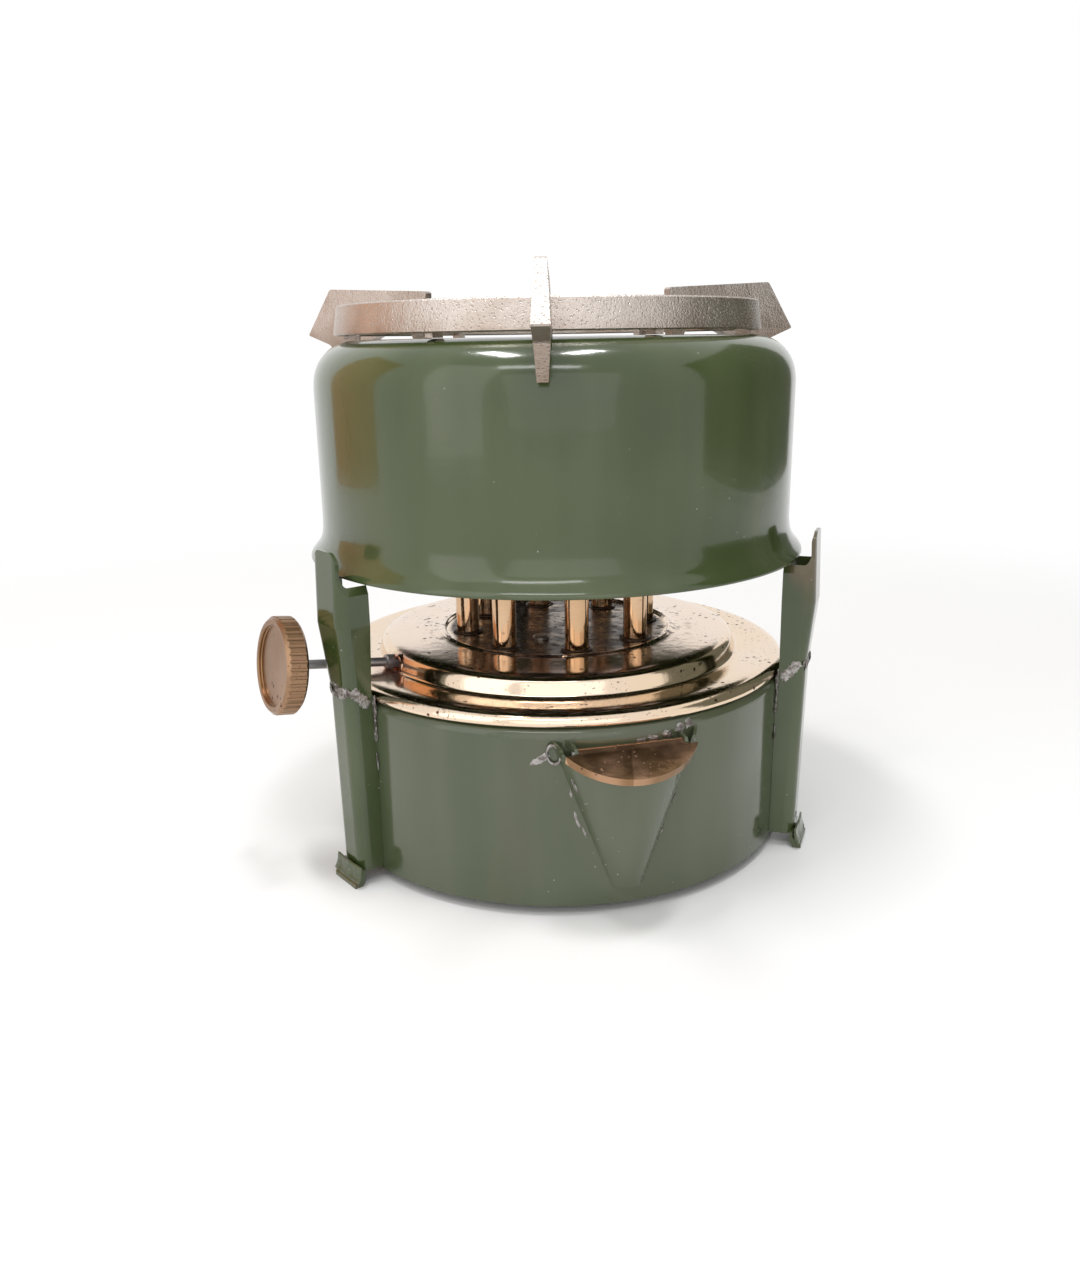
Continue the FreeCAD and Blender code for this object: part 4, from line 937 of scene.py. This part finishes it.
@dataclass
class SolderWork:
    """Solder at the legs, the filler and the wick tubes, the wire of the hinge and the feet."""

    nodes: dict[str, Piece]
    solder: PlainMetal = PlainMetal(
        "soft_solder", (0.40, 0.38, 0.365), (0.17, 0.145, 0.13), 0.34,
        patch=420.0, grain=1100.0, depth=0.0003,
    )
    soot: PlainMetal = PlainMetal(
        "sooty_solder", (0.060, 0.045, 0.038), (0.16, 0.11, 0.08), 0.34, patch=200.0, grain=900.0
    )
    feet: Enamel = Enamel(
        "foot_enamel", worn=(0.19, 0.185, 0.165), foot=0.002, peel=0.0002, streaks=0.5
    )
    ring: TubeRing = TubeRing()
    legs: tuple[tuple[str, float], ...] = (
        ("leg_left", -50.3), ("leg_right", 69.7), ("leg_rear", 189.7),
    )
    leg_half: float = 7.5 * MM
    waist: float = 76.0 * MM
    film: float = 0.30 * MM
    # Drop under the waist, half thickness and half height of each run, in millimetres.
    leg_runs: tuple[Point, ...] = (
        (7.0, 1.2, 4.0), (12.5, 0.8, 3.2), (18.0, 1.0, 2.2), (28.0, 0.5, 3.0),
    )
    well_top: float = 81.2 * MM
    tube_radius: float = 4.6 * MM
    collar_gap: float = 0.7 * MM
    collar_bead: float = 0.8 * MM
    foot_sweep: float = 10.2
    foot_level: float = 7.0 * MM
    foot_sheet: float = 1.1 * MM
    foot_curl: Outline = (
        (0.7, 8.6), (0.8, 7.2), (1.0, 5.4), (1.5, 3.8), (2.2, 2.6), (2.9, 2.0), (3.4, 2.2),
    )
    loop_azimuth: float = -0.9
    loop_level: float = 61.6 * MM
    loop_radius: float = 2.6 * MM
    loop_wire: float = 0.5 * MM
    # Azimuth, height, half width, half height and lean of each lump, in degrees and millimetres.
    filler_marks: tuple[tuple[float, float, float, float, float], ...] = (
        (-4.6, 58.6, 2.2, 1.1, 35.0), (-3.2, 60.0, 2.6, 1.3, 30.0), (17.9, 64.6, 1.6, 0.9, 0.0),
        (20.6, 64.6, 2.4, 1.1, -10.0), (24.0, 65.2, 2.2, 1.5, -25.0), (27.0, 66.4, 1.8, 1.9, -40.0),
        (29.3, 67.8, 1.3, 1.7, -30.0), (30.4, 61.5, 1.0, 2.2, 10.0), (3.3, 51.0, 0.7, 2.8, 12.0),
        (2.6, 47.0, 0.4, 1.6, 10.0), (3.9, 37.0, 0.5, 3.0, 18.0), (5.4, 32.5, 0.4, 2.2, 18.0),
        (24.5, 43.0, 0.6, 2.4, -14.0), (22.0, 31.0, 0.8, 1.3, -10.0), (21.2, 28.4, 0.4, 1.0, -10.0),
    )

    def collars(self) -> Piece:
        """Model a dark uneven ring of solder round each wick tube.

        Returns:
            All the rings as one piece.
        """
        rings = []
        level = self.well_top + 0.15 * MM
        for n, (azimuth, at) in enumerate(zip(self.ring.azimuths(), self.ring.places(level))):
            drop_selection()
            bpy.ops.mesh.primitive_torus_add(
                major_radius=self.tube_radius + self.collar_gap, minor_radius=self.collar_bead,
                major_segments=48, minor_segments=10,
            )
            collar = bpy.context.object
            roughen(collar, f"collar_{n}", 0.004, 1.1 * MM)
            turn = Matrix.Rotation(math.radians(azimuth * 3), 4, "Z")
            flat = Matrix.Diagonal((1.0, 1.0, 0.75, 1.0))
            collar.matrix_world = Matrix.Translation(at) @ turn @ flat
            rings.append(collar)
        return joined(rings)

    def waist_lumps(self, leg: int) -> list[Piece]:
        """Solder across the waist of a leg, on its outer face.

        Args:
            leg: the leg's number.

        Returns:
            The lumps.
        """
        lumps = []
        name, azimuth = self.legs[leg]
        inward = -round_the_middle(1.0, azimuth, 0.0)
        for n in range(5):
            level = self.waist - (n % 2) * 1.6 * MM
            start = round_the_middle(OUTSIDE, azimuth, level, (n - 2) * 2.4 * MM)
            at, normal = touch([self.nodes[name]], start, inward)
            size = ((2.2 + n % 2) * MM, self.film, (1.5 + 0.5 * (n % 3)) * MM)
            lumps.append(Blob(at, normal, size, 14.0 * (n - 2), 30 + 9 * leg + n).model())
        return lumps

    def side_lumps(self, leg: int, side: int) -> list[Piece]:
        """Solder down one side of a leg and in its corner with the tank.

        Args:
            leg: the leg's number.
            side: -1 for its left side and 1 for its right side.

        Returns:
            The lumps.
        """
        lumps = []
        name, azimuth = self.legs[leg]
        outward = round_the_middle(1.0, azimuth, 0.0)
        toward = Vector((outward.y, -outward.x, 0.0)) * side
        for n in range(4):
            level = self.waist - (0.4 + 1.6 * n) * MM
            start = round_the_middle(0.0995 - 0.0014 * n, azimuth, level, side * 0.05)
            at, normal = touch([self.nodes[name]], start, toward)
            size = (1.9 * MM, self.film, 1.7 * MM)
            seed = 60 + 7 * leg + 3 * n + side
            lumps.append(Blob(at, normal, size, 30.0 * side, seed).model())
        for n, (drop, thick, tall) in enumerate(self.leg_runs):
            aside = side * (self.leg_half + 0.6 * MM)
            level = self.waist - drop * MM
            at = round_the_middle(TANK_RADIUS + 0.1 * MM, azimuth, level, aside)
            size = (thick * MM, 0.45 * thick * MM, tall * MM)
            lumps.append(Blob(at, outward, size, side * 3.0, 90 + n + 5 * leg + side).model())
        return lumps

    def leg_scars(self) -> Piece:
        """Model the solder of all three legs.

        Returns:
            All the lumps as one piece.
        """
        lumps = []
        for leg in range(len(self.legs)):
            lumps += self.waist_lumps(leg)
            for side in (-1, 1):
                lumps += self.side_lumps(leg, side)
        return joined(lumps)

    def filler_scars(self) -> Piece:
        """Model solder round the filler's hinge and in runs down the pocket's sides.

        Returns:
            All the lumps as one piece.
        """
        carriers = [self.nodes["tank_shell"], self.nodes["filler_pocket"]]
        lumps = []
        for n, (azimuth, height, wide, tall, lean) in enumerate(self.filler_marks):
            start = round_the_middle(OUTSIDE, azimuth, height * MM)
            at, normal = touch(carriers, start, -round_the_middle(1.0, azimuth, 0.0))
            size = (wide * MM, 0.32 * MM, tall * MM)
            lumps.append(Blob(at, normal, size, lean, 120 + n).model())
        return joined(lumps)

    def foot_tabs(self) -> Piece:
        """Curl the tabs that the legs stand on, wider than the legs and rough at their edges.

        Returns:
            The three tabs as one piece.
        """
        tabs = []
        for leg, (name, azimuth) in enumerate(self.legs):
            start = round_the_middle(OUTSIDE, azimuth, self.foot_level)
            face, _ = touch([self.nodes[name]], start, -round_the_middle(1.0, azimuth, 0.0))
            radius = math.hypot(face.x, face.y) / MM
            outline = [(radius + out, up) for out, up in self.foot_curl]
            tab = lathe(outline, 12, math.radians(self.foot_sweep))
            apply(tab, "SOLIDIFY", thickness=self.foot_sheet, offset=-1.0)
            apply(tab, "SUBSURF", levels=2, render_levels=2)
            roughen(tab, f"tab_{leg}", 0.005, 0.4 * MM, 0.7)
            middle = sum((v.co for v in tab.data.vertices), Vector()) / len(tab.data.vertices)
            turn = math.radians(azimuth - 90.0) - math.atan2(middle.y, middle.x)
            tab.matrix_world = Matrix.Rotation(turn, 4, "Z")
            tabs.append(tab)
        return joined(tabs)

    def wire_loop(self) -> Piece:
        """Bend the wire loop at the left end of the lid's hinge.

        Returns:
            The loop.
        """
        drop_selection()
        bpy.ops.mesh.primitive_torus_add(
            major_radius=self.loop_radius, minor_radius=self.loop_wire,
            major_segments=48, minor_segments=12,
        )
        loop = bpy.context.object
        with editing():
            bpy.ops.transform.resize(value=(0.85, 1.35, 1.0))
        roughen(loop, "loop_bend", 0.006, 0.5 * MM)
        at = round_the_middle(TANK_RADIUS + 0.9 * MM, self.loop_azimuth, self.loop_level)
        turn = Matrix.Rotation(math.radians(self.loop_azimuth), 4, "Z")
        upright = Matrix.Rotation(math.radians(96), 4, "X")
        lean = Matrix.Rotation(math.radians(12), 4, "Z")
        loop.matrix_world = Matrix.Translation(at) @ turn @ upright @ lean
        return loop

    def build(self) -> None:
        """Model the pieces in order and dress them."""
        silver = self.solder.material()
        for model, name, slot, finish in (
            (self.collars, "tube_solder", Slot.STEEL, self.soot.material()),
            (self.leg_scars, "leg_solder", Slot.STEEL, silver),
            (self.filler_scars, "filler_solder", Slot.STEEL, silver),
            (self.wire_loop, "hinge_wire", Slot.STEEL, silver),
            (self.foot_tabs, "foot_tabs", Slot.ENAMEL, self.feet.material()),
        ):
            settle(model(), name, Body.BASE, finish)


@dataclass
class WickSet:
    """Eight twisted cotton wicks in their tubes."""

    finish: Cotton = Cotton()
    ring: TubeRing = TubeRing()
    strands: int = 5
    strand_sides: int = 9
    strand_radius: float = 1.45 * MM
    strand_offset: float = 2.05 * MM
    turns: float = 5.0
    twist_steps: int = 90
    end_gap: float = 0.2 * MM

    def rope(self, length: float) -> Piece:
        """Twist one wick from its strands.

        Args:
            length: its length.

        Returns:
            The wick, upright in the stove's middle.
        """
        drop_selection()
        bpy.ops.mesh.primitive_circle_add(
            vertices=self.strand_sides, radius=self.strand_radius, fill_type="NOTHING",
            location=(self.strand_offset, 0, 0),
        )
        strand = bpy.context.object
        fix_place(strand)
        apply(
            strand, "SCREW", angle=math.tau * self.turns, screw_offset=length,
            steps=self.twist_steps, render_steps=self.twist_steps, iterations=1, axis="Z",
        )
        with editing():
            bpy.ops.mesh.fill_holes(sides=0)
        turns = [math.tau * n / self.strands for n in range(1, self.strands)]
        twins = [copy_of(strand, Matrix.Rotation(turn, 4, "Z")) for turn in turns]
        rope = joined([strand, *twins])
        fix_place(rope)
        return rope

    def build(self) -> None:
        """Model one wick and set a copy in each tube."""
        finish = self.finish.material()
        low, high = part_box("wick_1")
        rope = self.rope(high.z - low.z - 2 * self.end_gap)
        for n, at in enumerate(self.ring.places(low.z + self.end_gap)):
            turn = Matrix.Rotation(math.radians(37.0 * n), 4, "Z")
            wick = copy_of(rope, Matrix.Translation(at) @ turn)
            settle(wick, f"twisted_wick_{n + 1}", Body.LIFT, finish)
            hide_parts(f"wick_{n + 1}")
        bpy.data.objects.remove(rope)


@dataclass(frozen=True)
class Panel:
    """A softbox or a card of the studio: a flat rectangle that faces the stove."""

    name: str
    at: Point
    size: Pair
    colour: Colour = (1.0, 1.0, 1.0)
    power: float = 0.0


@dataclass
class Studio:
    """Camera, lamps, cards, plain light and floor."""

    picture: tuple[int, int] = (1080, 1282)
    sensor: float = 36.0
    focal_pixels: float = 1032.9
    at: Point = (0.0, -0.41558, 0.19470)
    pitch: float = 16.145
    yaw: float = -0.962
    roll: float = -0.918
    lamps: tuple[Panel, ...] = (
        Panel("left_softbox", (-0.97, -1.00, 0.60), (0.75, 1.8), (1.0, 0.99, 0.97), 3.6),
        Panel("top_left_strip", (-0.30, -0.10, 1.30), (0.34, 0.12), power=4.5),
        Panel("top_right_strip", (0.16, -0.10, 1.30), (0.26, 0.12), power=3.5),
        Panel("front_softbox", (0.10, -1.60, 0.60), (1.5, 1.2), power=3.0),
        Panel("window_strip", (-0.08, -0.62, 0.86), (0.50, 0.10), power=1.0),
    )
    cards: tuple[Panel, ...] = (
        Panel("brown_card", (-1.14, 0.27, 0.35), (0.74, 1.7), (0.86, 0.48, 0.27)),
        Panel("dark_card", (1.04, 0.28, 0.35), (1.60, 1.7), (0.14, 0.15, 0.12)),
    )
    lamp_target: float = 0.11
    sky: float = 0.70
    floor_size: float = 6.0
    floor_grey: float = 0.92
    floor_fade: Pair = (0.22, 0.75)
    # The kinds of ray, besides the camera's, that find the background pure white.
    mirrored: tuple[str, ...] = ("Is Glossy Ray", "Is Transmission Ray")

    def camera(self) -> None:
        """Set the camera at the photograph's viewing angle."""
        pitch, yaw, roll = (math.radians(v) for v in (self.pitch, self.yaw, self.roll))
        level = math.cos(pitch)
        ahead = Vector((math.sin(yaw) * level, math.cos(yaw) * level, -math.sin(pitch)))
        right = Vector((math.cos(yaw), -math.sin(yaw), 0.0))
        up = right.cross(ahead)
        across = right * math.cos(roll) + up * math.sin(roll)
        above = up * math.cos(roll) - right * math.sin(roll)
        drop_selection()
        bpy.ops.object.camera_add(location=self.at)
        camera = bpy.context.object
        frame = Matrix((across, above, -ahead)).transposed()
        camera.matrix_world = Matrix.Translation(self.at) @ frame.to_4x4()
        camera.data.lens = self.focal_pixels / max(self.picture) * self.sensor
        camera.data.clip_start = 0.01
        bpy.context.scene.camera = camera

    def hang_lamps(self) -> None:
        """Hang the softboxes, each facing the stove."""
        for panel in self.lamps:
            drop_selection()
            bpy.ops.object.light_add(type="AREA", location=panel.at)
            lamp = bpy.context.object
            lamp.name = panel.name
            lamp.data.shape = "RECTANGLE"
            lamp.data.size, lamp.data.size_y = panel.size
            lamp.data.energy = panel.power
            lamp.data.color = panel.colour
            aim = Vector((0.0, 0.0, self.lamp_target)) - Vector(panel.at)
            lamp.rotation_euler = aim.to_track_quat("-Z", "Y").to_euler()

    def stand_cards(self) -> None:
        """Stand up the cards that the enamel and the metal reflect."""
        for panel in self.cards:
            drop_selection()
            bpy.ops.mesh.primitive_plane_add(size=1.0, location=panel.at)
            card = bpy.context.object
            card.name = panel.name
            card.scale = (*panel.size, 1.0)
            aim = Vector((0.0, 0.0, panel.at[2])) - Vector(panel.at)
            card.rotation_euler = aim.to_track_quat("Z", "Y").to_euler()
            card.visible_camera = False
            paint = Graph(panel.name).surface(Base_Color=panel.colour, Roughness=0.9)
            card.data.materials.append(paint)

    def fill_room(self) -> None:
        """Fill the room with plain light, seen as white."""
        world = bpy.data.worlds.new("pale_room")
        bpy.context.scene.world = world
        world.use_nodes = True
        tree = world.node_tree
        path = tree.nodes.new("ShaderNodeLightPath")
        seen = path.outputs["Is Camera Ray"]
        for ray in self.mirrored:
            either = tree.nodes.new("ShaderNodeMath")
            either.operation = "MAXIMUM"
            tree.links.new(seen, either.inputs[0])
            tree.links.new(path.outputs[ray], either.inputs[1])
            seen = either.outputs[0]
        level = tree.nodes.new("ShaderNodeMapRange")
        level.inputs["To Min"].default_value = self.sky
        level.inputs["To Max"].default_value = 1.0
        tree.links.new(seen, level.inputs["Value"])
        background = tree.nodes["Background"]
        background.inputs["Color"].default_value = (1.0, 1.0, 1.0, 1.0)
        tree.links.new(level.outputs[0], background.inputs["Strength"])

    def floor(self) -> None:
        """Lay a plain pale floor that fades to white away from the stove."""
        drop_selection()
        bpy.ops.mesh.primitive_plane_add(size=self.floor_size, location=(0.0, 0.0, 0.0))
        floor = bpy.context.object
        floor.name = "floor"
        g = Graph("pale_floor")
        x, y, _ = g.axes()
        far = ((x * x + y * y) ** 0.5).between(*self.floor_fade)
        seen = g.node("ShaderNodeLightPath", {}, {}, "Is Camera Ray")
        for ray in self.mirrored:
            seen = seen.larger(g.node("ShaderNodeLightPath", {}, {}, ray))
        glow = g.node("ShaderNodeEmission", {}, {"Color": (1.0, 1.0, 1.0), "Strength": 1.0})
        g.surface(Base_Color=(self.floor_grey,) * 3, Roughness=0.7)
        shader = Wire(g, g.shader.outputs[0])
        both = g.node("ShaderNodeMixShader", {}, {0: far * seen, 1: shader, 2: glow})
        g.tree.links.new(both.socket, g.tree.nodes["Material Output"].inputs[0])
        floor.data.materials.append(g.material)

    def build(self) -> None:
        """Set up the whole studio."""
        self.camera()
        self.hang_lamps()
        self.stand_cards()
        self.fill_room()
        self.floor()
        bpy.context.scene.view_settings.view_transform = "Standard"


@dataclass
class Stove:
    """The CAD nodes and the finish that each of them shows."""

    nodes: dict[str, Piece]
    ring: TubeRing = TubeRing()
    hinge_azimuth: float = 15.0
    hinge_gap: float = 2.1 * MM

    def dress(self, names: Iterable[str], finish: Finish) -> None:
        """Put a material on CAD nodes.

        Args:
            names: the nodes.
            finish: the material.
        """
        for name in names:
            mesh = self.nodes[name].data
            mesh.materials.clear()
            mesh.materials.append(finish)
            LOG.info("%s wears %s", name, finish.name)

    def tank_and_legs(self) -> None:
        """Enamel the tank, the filler and the legs."""
        tank = Enamel(
            "tank_enamel", thick=(0.060, 0.078, 0.038), thin=(0.086, 0.100, 0.058), streaks=0.10
        )
        ears = ["lid_ear_left", "lid_ear_right"]
        self.dress(["tank_shell", "tank_bottom", "filler_pocket", *ears], tank.material())
        legs = Enamel("leg_enamel", roughness=0.11, peel=0.0001, foot=0.001, streaks=0.55)
        self.dress(["leg_left", "leg_right", "leg_rear"], legs.material())

    def brass(self) -> None:
        """Finish the wick tubes, the knob and the filler lid."""
        tube = PolishedBrass(
            "tube_brass", bright=(0.58, 0.375, 0.215), pink=(0.65, 0.45, 0.29), specks=0.4
        )
        self.dress([f"wick_tube_{n + 1}" for n in range(self.ring.count)], tube.material())
        knob = PolishedBrass(
            "knob_brass", bright=(0.25, 0.140, 0.070), pink=(0.32, 0.195, 0.115),
            specks=0.9, roughness=0.27,
        )
        self.dress(["knob"], knob.material())
        _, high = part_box("filler_lid")
        hinge = round_the_middle(TANK_RADIUS + self.hinge_gap, self.hinge_azimuth, high.z)
        self.dress(["filler_lid"], LidCopper(tuple(hinge)).material())

    def steel(self) -> None:
        """Finish the spindle, the works of the wick lift and the burner."""
        dark = PlainMetal(
            "dark_steel", (0.42, 0.405, 0.41), (0.52, 0.50, 0.50), 0.38, metallic=0.7
        )
        self.dress(["spindle", "gland_packing", "gland_sleeve", "lid_pin"], dark.material())
        works = PlainMetal("works_steel", (0.36, 0.34, 0.31), (0.25, 0.22, 0.18), 0.34)
        lift = ["pinion", "lift_rack", "guide_rod", "guide_sleeve", "spindle_bracket"]
        self.dress([*lift, "wick_carrier", "wick_clamps"], works.material())
        heat = PlainMetal(
            "heat_tinted_steel", (0.62, 0.60, 0.57), (0.44, 0.38, 0.33), 0.30, rings=260.0
        )
        flame = ["outer_flame_cylinder", "inner_flame_cylinder", "flame_cap", "cross_pins"]
        self.dress(["burner_base", *flame], heat.material())

    def build(self) -> None:
        """Give every CAD node its finish."""
        self.tank_and_legs()
        self.brass()
        self.steel()
        self.dress(["pan_support"], CastMetal().material())


def main() -> None:
    """Build the studio and the stove's looks in order."""
    logging.basicConfig(level=logging.INFO, format="%(message)s")
    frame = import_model()
    Studio().build()
    Stove(frame["nodes"]).build()
    DrumShell().build()
    BurnerPlate().build()
    WickSet().build()
    SolderWork(frame["nodes"]).build()


if __name__ == "__main__":
    main()
